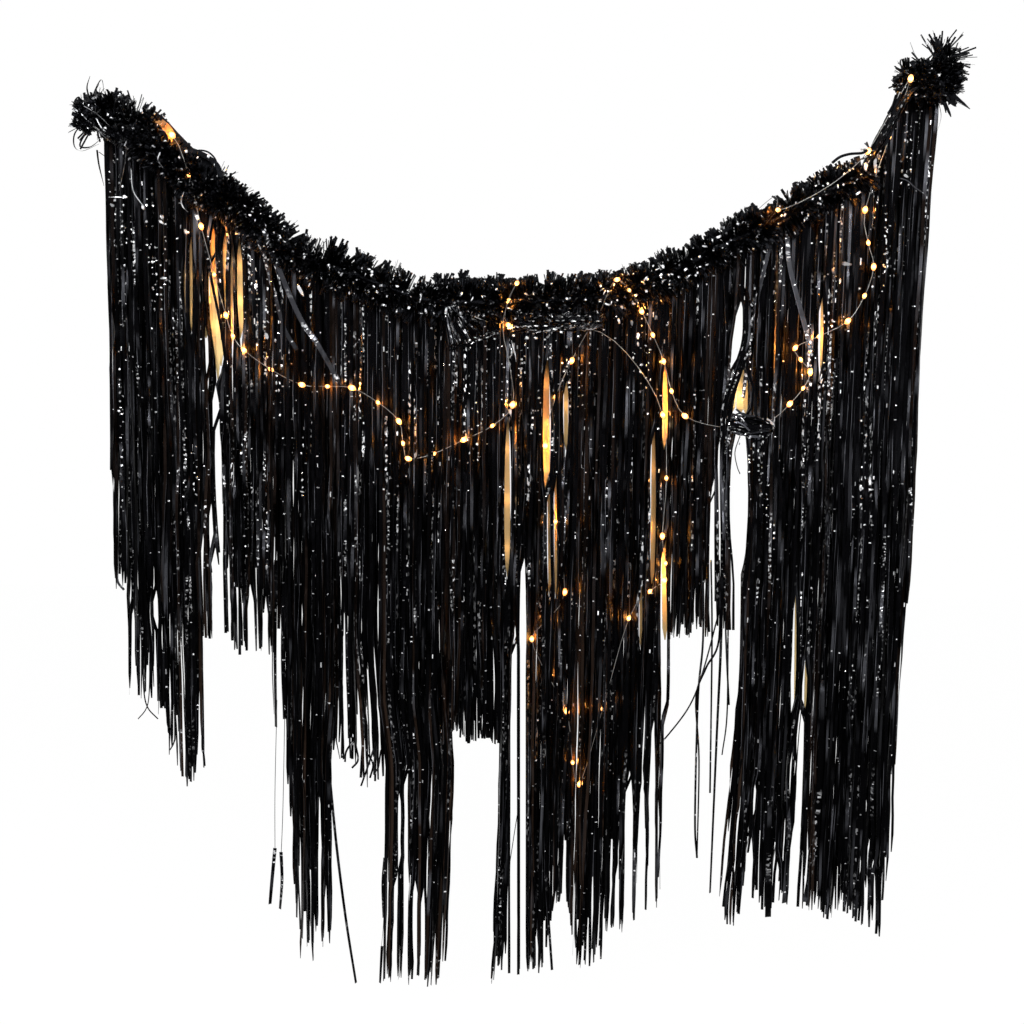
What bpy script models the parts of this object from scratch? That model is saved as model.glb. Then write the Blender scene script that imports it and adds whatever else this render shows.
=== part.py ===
"""Fringe door curtain: a swagged tinsel garland with foil fringe and a battery light wire.

Metres, +Z up. The origin is the middle of the left hanging loop. X runs along the curtain
to the right, Y points from the viewer to the wall, and the garland's core lies at Y = 0.
"""

import math
import random

import bmesh
import bpy
import numpy as np
from mathutils import Matrix, Vector

# Overall sizes
span = 1.053  # from the left hanging loop to the right one
rise = 0.086  # the right loop stands this much higher
sag = 0.220  # the core's lowest place, below the left loop
drop = 1.125  # the longest strand's end, below the left loop
seat_gap = 0.0004  # between pieces that touch

# Tinsel garland
core_radius = 0.011
bristle_length = 0.020
bristle_stray = 0.005
bristle_clearance = 0.005
bristle_pitch = 0.0135
slice_count = 9
bristle_share = 0.72
upward_share = 0.20  # least upward lean of a core face that carries a bristle
tuft_upward_share = 0.05
neck_radius = 0.006
neck_rings = 10
end_ring = 0.0020  # length of the square end of a slice
left_tuft_radius = 0.016
left_tuft_x = 0.030
left_tuft_z = -0.004
right_tuft_radius = 0.022
right_tuft_inset = 0.0255  # in from the right loop, and down from it
tuft_bristle_length = 0.023
end_tuft_bristle_length = 0.028

# Core line of the garland, as shares of the span along X and of the sag down
core_line_shares = (
    (0.0540, 0.067),
    (0.0930, 0.238),
    (0.1370, 0.393),
    (0.1730, 0.495),
    (0.2210, 0.673),
    (0.2540, 0.776),
    (0.3140, 0.866),
    (0.3860, 0.980),
    (0.4550, 1.000),
    (0.5370, 0.979),
    (0.6130, 0.945),
    (0.6740, 0.825),
    (0.7460, 0.653),
    (0.7990, 0.528),
    (0.8300, 0.433),
    (0.8710, 0.331),
    (0.9010, 0.250),
)
neck_line_shares = (
    (0.9200, 0.045),
    (0.9410, -0.140),
)

# Hanging loops
loop_radius = 0.0082
loop_cord_radius = 0.0012
loop_knot_radius = 0.0032
loop_knot_sink = 0.0011  # the tuft is faceted, so the knot sits this far inside its radius

# Foil fringe
strand_width = 0.0042
strand_thickness = 0.0009
strand_pitch = 0.0060
front_pitch = 0.0098
header_height = 0.012
hem_stray = 0.009
cut_skew = 0.003
layer_offset = 0.007  # from the core line to the middle of a layer

# Each back section: left and right edge as shares of the span, then its hem
back_section_shares = (
    (0.0170, 0.1220, ((0.017, 0.516), (0.028, 0.526), (0.030, 0.640), (0.060, 0.655),
                      (0.080, 0.711), (0.104, 0.761), (0.121, 0.730))),
    (0.1260, 0.2050, ((0.127, 0.578), (0.173, 0.590), (0.209, 0.601))),
    (0.2080, 0.2840, ((0.198, 0.897), (0.223, 0.880), (0.235, 0.913), (0.253, 0.979),
                      (0.284, 0.998))),
    (0.2870, 0.3360, ((0.287, 0.726), (0.317, 0.753), (0.344, 0.734))),
    (0.3390, 0.4190, ((0.339, 0.992), (0.384, 0.989), (0.403, 0.998), (0.418, 0.976))),
    (0.4260, 0.4800, ((0.428, 0.686), (0.456, 0.697), (0.490, 0.703))),
    (0.4830, 0.5810, ((0.483, 0.998), (0.511, 0.980), (0.581, 0.971))),
    (0.5840, 0.6880, ((0.584, 0.970), (0.602, 0.970), (0.642, 0.927), (0.657, 0.908),
                      (0.671, 0.849), (0.688, 0.890))),
    (0.6910, 0.7300, ((0.692, 0.560), (0.718, 0.572), (0.741, 0.567))),
    (0.7330, 0.7680, ((0.7350, 0.833), (0.7412, 0.565), (0.7474, 0.876), (0.7536, 0.565),
                      (0.7598, 0.655), (0.7660, 0.360))),
    (0.7720, 0.8680, ((0.776, 0.924), (0.793, 0.899), (0.831, 0.906), (0.867, 0.900))),
    (0.8710, 0.9870, ((0.871, 0.900), (0.904, 0.904), (0.945, 0.914), (0.964, 0.931),
                      (0.971, 0.874), (0.979, 0.818), (0.985, 0.545))),
)

# Gaps in the hem of a back section, where one strand ends early: section, place, height
hem_gap_shares = (
    (1, 0.0349, 0.551),
    (1, 0.0523, 0.596),
    (1, 0.0622, 0.537),
    (2, 0.1785, 0.541),
    (2, 0.1967, 0.561),
    (3, 0.2228, 0.670),
    (3, 0.2670, 0.772),
    (5, 0.3573, 0.881),
    (5, 0.3693, 0.746),
    (5, 0.3915, 0.893),
    (7, 0.5040, 0.595),
    (7, 0.5123, 0.502),
    (7, 0.5417, 0.897),
    (7, 0.5607, 0.902),
    (7, 0.5721, 0.905),
    (8, 0.6346, 0.736),
    (8, 0.6502, 0.760),
    (8, 0.6653, 0.766),
    (8, 0.6772, 0.706),
    (10, 0.7410, 0.412),
    (11, 0.7873, 0.819),
    (11, 0.8026, 0.764),
    (11, 0.8272, 0.728),
    (11, 0.8466, 0.715),
    (11, 0.8600, 0.763),
    (12, 0.9464, 0.792),
    (12, 0.9623, 0.833),
)

# Each front section, in the same way
front_section_shares = (
    (0.0210, 0.0850, ((0.021, 0.500), (0.085, 0.560))),
    (0.2120, 0.2700, ((0.212, 0.690), (0.270, 0.640))),
    (0.3820, 0.4190, ((0.382, 0.660), (0.419, 0.700))),
    (0.4270, 0.4620, ((0.427, 0.640), (0.462, 0.600))),
    (0.5010, 0.5840, ((0.501, 0.860), (0.540, 0.820), (0.584, 0.850))),
    (0.7590, 0.8070, ((0.759, 0.560), (0.807, 0.600))),
)
swag_section = 6  # the front section whose first strands are gathered in a knot
knot_strands = 3
knot_drop_share = 0.320
knot_height = 0.024
knot_wall = 0.0025
knot_clearance = 0.0004

# Light wire
wire_radius = 0.0005
resin_radius = 0.0017
end_sleeve_radius = 0.0013
end_sleeve_length = 0.007

# Battery case, its back to the wall
cell_radius = 0.00725
cell_length = 0.0493
cell_button_radius = 0.00275
cell_button_height = 0.0012
cell_clearance = 0.0004
spring_length = 0.0046
spring_radius = 0.0034
spring_wire_radius = 0.00035
spring_turns = 3
spring_turn_points = 9
plate_thickness = 0.0006
plate_height = 0.0120
case_wall = 0.0020
case_side_wall = 0.0026
case_back_wall = 0.0016
case_lip = 0.0010
case_lip_reach = 0.0010
cover_thickness = 0.0014
cover_clearance = 0.0003
cover_grip_height = 0.0006
cover_grip_width = 0.0012
cover_grip_pitch = 0.0030
cover_grip_count = 5
cover_travel = 0.060
switch_bay = 0.0090
case_left_share = 0.42735  # of the span
case_front_y = 0.0118
case_base_drop = 0.0045  # below the core's lowest place
cut_overrun = 0.0020
lug_length = 0.0062
lug_height = 0.0100
lug_thickness = 0.0030
lug_hole_length = 0.0034
lug_hole_height = 0.0050

# Switch slider, on the case's upper side
switch_knob_length = 0.0032
switch_knob_width = 0.0040
switch_knob_height = 0.0014
switch_stem_length = 0.0022
switch_stem_width = 0.0020
switch_foot_length = 0.0030
switch_foot_width = 0.0040
switch_foot_height = 0.0010
switch_travel = 0.0030
switch_clearance = 0.0004

# Wire grommet
grommet_shank_radius = 0.0014
grommet_flange_radius = 0.0024
grommet_flange_thickness = 0.0010
grommet_nose_radius = 0.0011
grommet_nose_length = 0.0055
grommet_inset = 0.0015
grommet_hole_clearance = 0.0003
grommet_height = 0.0055

# Tie that hangs the case from the core
tie_radius = 0.0007
tie_slack = 0.0006
tie_arc_points = 8

# The light wire's route from the case to its far end, and where an LED sits
route = (
    ((0.5306, 0.0225, -0.2190), False),
    ((0.600, 0.021, -0.211), False),
    ((0.685, 0.020, -0.193), False),
    ((0.765, 0.020, -0.151), False),
    ((0.846, 0.024, -0.082), False),
    ((0.841, -0.030, -0.105), True),
    ((0.893, -0.031, -0.081), False),
    ((0.947, -0.028, -0.034), True),
    ((0.992, -0.034, 0.050), True),
    ((0.954, -0.002, -0.100), True),
    ((0.968, -0.002, -0.169), True),
    ((0.939, -0.002, -0.236), True),
    ((0.875, -0.002, -0.270), True),
    ((0.895, -0.002, -0.300), True),
    ((0.871, -0.002, -0.340), True),
    ((0.825, -0.002, -0.370), False),
    ((0.740, -0.002, -0.357), True),
    ((0.711, -0.003, -0.289), True),
    ((0.681, -0.010, -0.228), True),
    ((0.648, -0.030, -0.191), True),
    ((0.628, -0.004, -0.234), False),
    ((0.596, -0.002, -0.290), True),
    ((0.565, -0.002, -0.397), True),
    ((0.593, -0.002, -0.584), True),
    ((0.552, -0.002, -0.646), True),
    ((0.599, -0.002, -0.741), True),
    ((0.618, -0.002, -0.838), True),
    ((0.676, -0.002, -0.617), True),
    ((0.720, -0.002, -0.567), True),
    ((0.716, -0.002, -0.510), True),
    ((0.712, -0.002, -0.356), True),
    ((0.631, -0.002, -0.254), False),
    ((0.516, -0.004, -0.247), True),
    ((0.526, -0.030, -0.197), True),
    ((0.509, -0.012, -0.250), False),
    ((0.523, -0.003, -0.346), True),
    ((0.462, -0.002, -0.391), True),
    ((0.392, -0.002, -0.416), True),
    ((0.380, -0.002, -0.369), True),
    ((0.321, -0.002, -0.328), True),
    ((0.258, -0.002, -0.325), True),
    ((0.186, -0.002, -0.283), True),
    ((0.164, -0.003, -0.240), True),
    ((0.140, -0.024, -0.134), True),
    ((0.109, -0.033, -0.028), True),
    ((0.038, -0.038, -0.028), False),
    ((-0.001, -0.030, -0.011), False),
)

# Places and sizes that follow from the ones above
left_loop = Vector((0, 0, 0))
right_loop = Vector((span, 0, rise))
loop_room = loop_radius + loop_knot_radius + bristle_clearance
case_end_bay = spring_length + cell_button_height + 2 * plate_thickness + 5 * cell_clearance
cell_bay_length = cell_length + case_end_bay
case_left_x = case_left_share * span
case_base_z = -sag - case_base_drop
cell_bay_height = 4 * cell_radius + 3 * cell_clearance
cell_bay_depth = 2 * cell_radius + 2 * cell_clearance
groove_depth = cover_thickness + 2 * cover_clearance
case_length = 3 * case_wall + cell_bay_length + switch_bay
case_height = cell_bay_height + 2 * case_side_wall
case_depth = case_lip + groove_depth + cell_bay_depth + case_back_wall
case_right_x = case_left_x + case_length
case_back_y = case_front_y + case_depth
case_middle_z = case_base_z + case_height / 2
bay_left_x = case_left_x + case_wall
bay_right_x = bay_left_x + cell_bay_length
cell_y = case_back_y - case_back_wall - cell_bay_depth / 2
cell_spacing = 2 * cell_radius + cell_clearance
switch_x = bay_right_x + case_wall + switch_bay / 2
grommet_z = case_base_z + grommet_height


def clear_scene():
    for old in list(bpy.data.objects):
        bpy.data.objects.remove(old, do_unlink=True)


def collection(name):
    made = bpy.data.collections.new(name)
    bpy.context.scene.collection.children.link(made)
    return made


def material(name, colour, roughness, metallic=0.0):
    made = bpy.data.materials.new(name)
    made.use_nodes = True
    shader = made.node_tree.nodes["Principled BSDF"]
    shader.inputs["Base Color"].default_value = (*colour, 1)
    shader.inputs["Roughness"].default_value = roughness
    shader.inputs["Metallic"].default_value = metallic
    made.diffuse_color = (*colour, 1)
    return made


def link(name, data, finish, place=(0, 0, 0)):
    made = bpy.data.objects.new(name, data)
    made.location = place
    data.materials.append(finish)
    parts.objects.link(made)
    return made


def smooth_line(points, steps):
    """Points along one smooth curve through the given points, steps to each stretch."""
    through = [2 * points[0] - points[1], *points, 2 * points[-1] - points[-2]]
    line = []
    for before, here, there, after in zip(through, through[1:], through[2:], through[3:]):
        for step in range(steps):
            t = step / steps
            line.append(
                0.5
                * (
                    2 * here
                    + (there - before) * t
                    + (2 * before - 5 * here + 4 * there - after) * t**2
                    + (3 * here - before - 3 * there + after) * t**3
                )
            )
    line.append(points[-1].copy())
    return line


def even_line(line, count):
    """The line again, as count points at even distances."""
    places = np.array([tuple(point) for point in line])
    run = np.concatenate([[0], np.cumsum(np.linalg.norm(np.diff(places, axis=0), axis=1))])
    wanted = np.linspace(0, run[-1], count)
    return [
        Vector([np.interp(at, run, places[:, axis]) for axis in range(3)]) for at in wanted
    ]


def line_length(line):
    return sum((b - a).length for a, b in zip(line, line[1:]))


def from_shares(shares):
    return [Vector((x * span, 0, -z * sag)) for x, z in shares]


def seat_on(tuft, towards):
    """The place on a tuft's ball that faces the given place, with the seat gap."""
    centre, radius = tuft
    return centre + (towards - centre).normalized() * (radius + seat_gap)


left_tuft = (Vector((left_tuft_x, 0, left_tuft_z)), left_tuft_radius)
right_tuft_centre = right_loop - Vector((right_tuft_inset, 0, right_tuft_inset))
right_tuft = (right_tuft_centre, right_tuft_radius)
core_places = from_shares(core_line_shares)
core_places.insert(0, seat_on(left_tuft, core_places[0]))
neck_places = from_shares(neck_line_shares)
neck_places.append(seat_on(right_tuft, neck_places[-1]))
line_steps = 12
whole_curve = smooth_line(core_places + neck_places, line_steps)
core_count = (len(core_places) - 1) * line_steps + 1
core_curve = whole_curve[:core_count]
neck_curve = whole_curve[core_count - 1 :]
slice_rings = round(line_length(core_curve) / slice_count / bristle_pitch)
core_rings = even_line(core_curve, slice_count * slice_rings + 1)
wire_line = smooth_line([Vector(place) for place, _ in route], 2)
keep_off = [np.array([tuple(point) for point in smooth_line(wire_line, 6)])]


def wire_tube(name, points, radius, finish, sides=2, closed=False):
    """A round wire or tube along straight runs between the points."""
    data = bpy.data.curves.new(name, "CURVE")
    data.dimensions = "3D"
    data.bevel_depth = radius
    data.bevel_resolution = sides
    data.use_fill_caps = not closed
    spline = data.splines.new("POLY")
    spline.points.add(len(points) - 1)
    for point, place in zip(spline.points, points):
        point.co = (*place, 1)
    spline.use_cyclic_u = closed
    return link(name, data, finish)


def as_mesh(made):
    """The curve object turned into a mesh object of the same name and place."""
    bpy.context.view_layer.update()
    graph = bpy.context.evaluated_depsgraph_get()
    data = bpy.data.meshes.new_from_object(made.evaluated_get(graph))
    form = bmesh.new()
    form.from_mesh(data)
    bmesh.ops.remove_doubles(form, verts=form.verts, dist=seat_gap / 8)
    form.to_mesh(data)
    form.free()
    name = made.name
    place = made.matrix_world.copy()
    bpy.data.objects.remove(made, do_unlink=True)
    whole = bpy.data.objects.new(name, data)
    whole.matrix_world = place
    parts.objects.link(whole)
    return whole


def box_between(name, low, high, finish):
    """A box with these lowest and highest corners, its mesh centred on its origin."""
    low = Vector(low)
    high = Vector(high)
    form = bmesh.new()
    bmesh.ops.create_cube(form, size=1)
    bmesh.ops.scale(form, vec=high - low, verts=form.verts)
    data = bpy.data.meshes.new(name)
    form.to_mesh(data)
    form.free()
    return link(name, data, finish, (low + high) / 2)


def boolean(made, other, operation):
    """Cut or join the other object, which goes to the cutters."""
    step = made.modifiers.new(operation.lower() + "_" + other.name, "BOOLEAN")
    step.object = other
    step.operation = operation
    step.solver = "EXACT"
    parts.objects.unlink(other)
    cutters.objects.link(other)
    other.hide_render = True
    other.display_type = "WIRE"


def turned(name, profile, finish, place, axis="X", steps=16):
    """A solid of revolution. The profile is (radius, height) pairs from top to bottom."""
    data = bpy.data.meshes.new(name)
    form = bmesh.new()
    corners = [form.verts.new((radius, 0, height)) for radius, height in profile]
    for a, b in zip(corners, corners[1:]):
        form.edges.new((a, b))
    form.to_mesh(data)
    form.free()
    made = link(name, data, finish, place)
    screw = made.modifiers.new("turn", "SCREW")
    screw.steps = steps
    screw.render_steps = steps
    screw.use_merge_vertices = True
    screw.merge_threshold = 0.00001
    if axis == "X":
        made.rotation_euler = (0, math.pi / 2, 0)
    if axis == "-X":
        made.rotation_euler = (0, -math.pi / 2, 0)
    return made


def along(base, tip):
    """Places along a bristle, to check it against what stands near it."""
    return [base.lerp(tip, share) for share in (0.3, 0.65, 1.0)]


def too_near(base, tip):
    """True where a bristle would touch the light wire or another piece's bristle."""
    for place in along(base, tip):
        if np.linalg.norm(keep_off[0] - np.array(place), axis=1).min() < bristle_clearance:
            return True
    return False


def in_case_zone(base, tip):
    """True where a bristle would stand in the space of the case, its cover or its tie."""
    left = case_left_x - lug_length - bristle_pitch
    right = case_right_x + cover_travel + bristle_pitch
    if left < base.x < right and max(base.y, tip.y) > bristle_clearance:
        return True
    return min(abs(place.x - lug_hole_x()) for place in (base, tip)) < bristle_clearance


def hang_height(x):
    """Height of the underside of what carries the fringe at this place along the span."""
    inner = layer_offset - strand_thickness / 2
    heights = []
    for line, radius in ((core_rings, core_radius), (neck_curve, neck_radius)):
        across = math.sqrt(max(radius**2 - inner**2, 0))
        for here, there in zip(line, line[1:]):
            slope = (there.z - here.z) / (there.x - here.x)
            stretch = math.hypot(1, slope)
            reach = radius * abs(slope) / stretch + strand_width
            if here.x - reach <= x <= there.x + reach:
                heights.append(here.z + slope * (x - here.x) - across * stretch)
    for centre, radius in (left_tuft, right_tuft):
        across = radius**2 - inner**2 - (x - centre.x) ** 2
        if across > 0:
            heights.append(centre.z - math.sqrt(across))
    return min(heights, default=-drop) - seat_gap


def meets_header(base, tip):
    """True where a bristle from base to tip would run into a fringe layer's header."""
    for place in along(base, tip):
        beside = abs(place.y) > layer_offset - bristle_clearance
        if beside and place.z < hang_height(place.x) + bristle_clearance:
            return True
    return False


def raise_bristles(made, length, chance, least_up, blocked):
    """Pull faces of the core out into four-sided bristles."""
    form = bmesh.new()
    form.from_mesh(made.data)
    form.normal_update()
    faces = [f for f in form.faces if len(f.verts) < 5 and f.normal.z > least_up]
    raised = []
    for face in faces:
        if draw.random() > chance:
            continue
        stray = Vector([draw.uniform(-1, 1) for _ in range(3)]) * bristle_stray
        reach = length * draw.uniform(0.8, 1.1)
        base = face.calc_center_median()
        tip = base + face.normal * reach + stray
        if too_near(base, tip) or meets_header(base, tip) or blocked(base, tip):
            continue
        made_tip = bmesh.ops.poke(form, faces=[face], offset=0)["verts"][0]
        made_tip.co = tip
        raised += [tuple(place) for place in along(base, tip)]
    bmesh.ops.triangulate(form, faces=form.faces[:])
    form.to_mesh(made.data)
    form.free()
    if raised:
        keep_off[0] = np.vstack([keep_off[0], raised])
    return len(raised) // 3


def make_garland():
    """The garland as slices of one bristled core, end to end."""
    bristles = 0
    for index in range(slice_count):
        first = index * slice_rings
        last = first + slice_rings
        stretch = core_rings[first : last + 1]
        ends = [(stretch[0], -heading(first)), (stretch[-1], heading(last))]
        square_ends(stretch, heading(first), heading(last))

        def blocked(base, tip):
            past = any((tip - place).dot(out) > -seat_gap for place, out in ends)
            return past or in_case_zone(base, tip)

        name = f"garland_slice_{index + 1}"
        made = as_mesh(wire_tube(name, stretch, core_radius, tinsel))
        bristles += raise_bristles(made, bristle_length, bristle_share, upward_share, blocked)
    return bristles


def heading(ring):
    """Direction of the core at this ring."""
    low = max(ring - 1, 0)
    high = min(ring + 1, len(core_rings) - 1)
    return (core_rings[high] - core_rings[low]).normalized()


def square_ends(line, start_heading, end_heading):
    """Set both ends of the line square to their headings, drawn in by half a seat gap."""
    first, last = line[0], line[-1]
    line[0] = first + start_heading * seat_gap / 2
    line[-1] = last - end_heading * seat_gap / 2
    line.insert(1, first + start_heading * end_ring)
    line.insert(-1, last - end_heading * end_ring)


def make_neck():
    line = even_line(neck_curve, neck_rings)
    square_ends(line, heading(len(core_rings) - 1), (line[-1] - line[-2]).normalized())
    wire_tube("garland_neck", line, neck_radius, tinsel)


def make_tuft(name, centre, radius, length, loop):
    """A bunched end of the garland: a ball with bristles, parted round its hanging loop."""
    form = bmesh.new()
    bmesh.ops.create_icosphere(form, subdivisions=2, radius=radius)
    data = bpy.data.meshes.new(name)
    form.to_mesh(data)
    form.free()
    data.transform(Matrix.Translation(centre))
    tuft = link(name, data, tinsel)

    def blocked(base, tip):
        near_loop = min((place - loop).length for place in along(base, tip)) < loop_room
        near_core = min(
            (place - ring).length
            for place in along(base, tip)
            for ring in core_rings + neck_curve
        )
        return near_loop or near_core < core_radius + bristle_clearance or tip.y > case_back_y

    return raise_bristles(tuft, length, 1.0, tuft_upward_share, blocked)


def make_loops():
    """A knotted cord loop at each end, which a nail or hook goes through."""
    for name, centre, tuft in (
        ("hanging_loop_left", left_loop, left_tuft),
        ("hanging_loop_right", right_loop, right_tuft),
    ):
        towards = (tuft[0] - centre).normalized()
        knot_reach = tuft[1] + seat_gap + loop_knot_radius - loop_knot_sink
        knot = tuft[0] - towards * knot_reach
        ring = [
            centre + Vector((math.cos(turn), 0, math.sin(turn))) * loop_radius
            for turn in [2 * math.pi * step / 18 for step in range(18)]
        ]
        made = as_mesh(wire_tube(name, ring, loop_cord_radius, twine, 1, closed=True))
        form = bmesh.new()
        bmesh.ops.create_uvsphere(form, u_segments=10, v_segments=6, radius=loop_knot_radius)
        data = bpy.data.meshes.new(name + "_knot")
        form.to_mesh(data)
        form.free()
        boolean(made, link(name + "_knot", data, twine, knot), "UNION")


def make_section(name, shares, side, pitch, gaps=()):
    """One section of fringe: a header strip with its cut strands, hung under the garland.

    gaps are the places and heights where a strand ends early.
    """
    left, right = shares[0] * span, shares[1] * span
    count = max(2, round((right - left - strand_width) / pitch) + 1)
    starts = np.linspace(left, right - strand_width, count)
    cuts = [x for start in starts for x in (start, start + strand_width)]
    tops = [hang_height(x) for x in cuts]
    hinge_x = (left + right) / 2
    hinge_z = max(tops)
    hem_x = [x * span for x, _ in shares[2]]
    hem_z = [-z * drop for _, z in shares[2]]
    form = bmesh.new()

    def corner(x, z):
        return form.verts.new((x - hinge_x, 0, z - hinge_z))

    upper = [corner(x, z) for x, z in zip(cuts, tops)]
    lower = [corner(x, z - header_height) for x, z in zip(cuts, tops)]
    for a, b, c, d in zip(upper, upper[1:], lower[1:], lower):
        form.faces.new((a, b, c, d))
    for index, start in enumerate(starts):
        middle = start + strand_width / 2
        foot = np.interp(middle, hem_x, hem_z)
        for place, height in gaps:
            if abs(middle - place * span) < pitch / 2:
                foot = max(foot, -height * drop)
        foot += draw.uniform(-1, 1) * hem_stray
        skew = draw.uniform(-1, 1) * cut_skew
        root_left, root_right = lower[2 * index : 2 * index + 2]
        foot_right = corner(start + strand_width, foot + skew)
        foot_left = corner(start, foot - skew)
        form.faces.new((root_left, root_right, foot_right, foot_left))
    data = bpy.data.meshes.new(name)
    form.to_mesh(data)
    form.free()
    made = link(name, data, foil, (hinge_x, side * layer_offset, hinge_z))
    film = made.modifiers.new("film", "SOLIDIFY")
    film.thickness = strand_thickness
    film.offset = 0
    print(name, f"hinge {hinge_x:.4f} {side * layer_offset:.4f} {hinge_z:.4f}")
    return count


def make_fringe():
    strands = 0
    for number, shares in enumerate(back_section_shares, 1):
        gaps = [gap[1:] for gap in hem_gap_shares if gap[0] == number]
        strands += make_section(f"fringe_back_{number}", shares, 1, strand_pitch, gaps)
    for number, shares in enumerate(front_section_shares, 1):
        strands += make_section(f"fringe_front_{number}", shares, -1, front_pitch)
    return strands


def make_gathered_knot():
    """The foil knot tied round the first strands of the swag section."""
    shares = front_section_shares[swag_section - 1]
    left, right = shares[0] * span, shares[1] * span
    count = round((right - left - strand_width) / front_pitch) + 1
    pitch = (right - left - strand_width) / (count - 1)
    end = left + (knot_strands - 1) * pitch + strand_width
    middle_z = -knot_drop_share * drop
    half = strand_thickness / 2 + knot_clearance
    low = Vector((left - knot_clearance, -layer_offset - half, middle_z - knot_height / 2))
    high = Vector((end + knot_clearance, -layer_offset + half, middle_z + knot_height / 2))
    wall = Vector((knot_wall, knot_wall, 0))
    past = Vector((0, 0, cut_overrun))
    knot = box_between("gathered_knot", low - wall, high + wall, foil)
    boolean(knot, box_between("knot_bore", low - past, high + past, foil), "DIFFERENCE")


def make_light_wire():
    """The wire on its route, with a resin drop cast round it at each LED."""
    made = as_mesh(wire_tube("light_wire", wire_line, wire_radius, silver_wire))
    lit = [flag for _, flag in route]
    places = []
    for index, point in enumerate(wire_line):
        stop = index // 2
        on_route = index % 2 == 0 and lit[stop]
        between = index % 2 == 1 and lit[stop] and lit[stop + 1]
        if on_route or between:
            places.append(point)
    drops = bmesh.new()
    for place in places:
        made_drop = bmesh.ops.create_icosphere(drops, subdivisions=1, radius=resin_radius)
        bmesh.ops.translate(drops, verts=made_drop["verts"], vec=place)
    data = bpy.data.meshes.new("resin_drops")
    drops.to_mesh(data)
    drops.free()
    boolean(made, link("resin_drops", data, resin), "UNION")
    along = (wire_line[-1] - wire_line[-2]).normalized()
    profile = [
        (0, end_sleeve_length),
        (end_sleeve_radius * 0.6, end_sleeve_length),
        (end_sleeve_radius, end_sleeve_length * 0.8),
        (end_sleeve_radius, 0),
        (0, 0),
    ]
    place = wire_line[-1] + along * seat_gap
    tail = turned("tail_led", profile, resin, place, axis="", steps=10)
    tail.rotation_mode = "QUATERNION"
    tail.rotation_quaternion = along.to_track_quat("Z", "Y")
    return len(places)


def make_case():
    low = Vector((case_left_x, case_front_y, case_base_z))
    high = Vector((case_right_x, case_back_y, case_base_z + case_height))
    shell = box_between("battery_case", low, high, case_plastic)
    open_front_y = case_front_y - cut_overrun
    groove_y = case_front_y + case_lip
    bay_front_y = groove_y + groove_depth
    cuts = (
        ("mouth_cut", (bay_left_x, open_front_y, case_base_z + case_side_wall),
         (case_right_x + cut_overrun, groove_y + seat_gap, high.z - case_side_wall)),
        ("groove_cut", (bay_left_x, groove_y, case_base_z + case_side_wall - case_lip_reach),
         (case_right_x + cut_overrun, bay_front_y, high.z - case_side_wall + case_lip_reach)),
        ("cell_cut", (bay_left_x, bay_front_y - seat_gap, case_base_z + case_side_wall),
         (bay_right_x, case_back_y - case_back_wall, high.z - case_side_wall)),
        ("switch_cut", (bay_right_x + case_wall, bay_front_y - seat_gap, case_base_z + case_side_wall),
         (case_right_x - case_wall, case_back_y - case_back_wall, high.z - case_side_wall)),
    )
    lug_y = case_back_y - lug_thickness - case_back_wall
    lug = box_between(
        "case_lug",
        (case_left_x - lug_length, lug_y, case_middle_z - lug_height / 2),
        (case_left_x + case_wall / 2, lug_y + lug_thickness, case_middle_z + lug_height / 2),
        case_plastic,
    )
    boolean(shell, lug, "UNION")
    for name, start, end in cuts:
        boolean(shell, box_between(name, start, end, case_plastic), "DIFFERENCE")
    lug_x = lug_hole_x()
    hole = box_between(
        "lug_hole_cut",
        (lug_x - lug_hole_length / 2, lug_y - cut_overrun, case_middle_z - lug_hole_height / 2),
        (lug_x + lug_hole_length / 2, lug_y + lug_thickness + cut_overrun,
         case_middle_z + lug_hole_height / 2),
        case_plastic,
    )
    boolean(shell, hole, "DIFFERENCE")
    slot = box_between(
        "switch_slot_cut",
        (switch_x - (switch_stem_length + switch_travel) / 2 - switch_clearance,
         cell_y - switch_stem_width / 2 - switch_clearance, high.z - case_side_wall - seat_gap),
        (switch_x + (switch_stem_length + switch_travel) / 2 + switch_clearance,
         cell_y + switch_stem_width / 2 + switch_clearance, high.z + cut_overrun),
        case_plastic,
    )
    boolean(shell, slot, "DIFFERENCE")
    bore = bmesh.new()
    bmesh.ops.create_cone(
        bore, cap_ends=True, segments=12, depth=case_wall + 2 * cut_overrun,
        radius1=grommet_shank_radius + grommet_hole_clearance,
        radius2=grommet_shank_radius + grommet_hole_clearance,
    )
    data = bpy.data.meshes.new("grommet_bore")
    bore.to_mesh(data)
    bore.free()
    place = (case_right_x - case_wall / 2, cell_y, grommet_z)
    cutter = link("grommet_bore", data, case_plastic, place)
    cutter.rotation_euler = (0, math.pi / 2, 0)
    boolean(shell, cutter, "DIFFERENCE")


def lug_hole_x():
    return case_left_x - lug_length / 2


def make_cover():
    """The plate that slides out of the case's grooves, with raised grip bars."""
    y = case_front_y + case_lip + cover_clearance
    low_z = case_base_z + case_side_wall - case_lip_reach + cover_clearance
    high_z = case_base_z + case_height - case_side_wall + case_lip_reach - cover_clearance
    start = bay_left_x + cover_clearance
    plate = box_between(
        "battery_cover", (start, y, low_z), (case_right_x, y + cover_thickness, high_z),
        case_plastic,
    )
    grip_half = cell_bay_height / 4
    for index in range(cover_grip_count):
        x = start + cover_grip_pitch * (index + 1)
        bar = box_between(
            f"grip_bar_{index + 1}",
            (x, y - cover_grip_height, case_middle_z - grip_half),
            (x + cover_grip_width, y + cover_thickness / 2, case_middle_z + grip_half),
            case_plastic,
        )
        boolean(plate, bar, "UNION")


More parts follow.
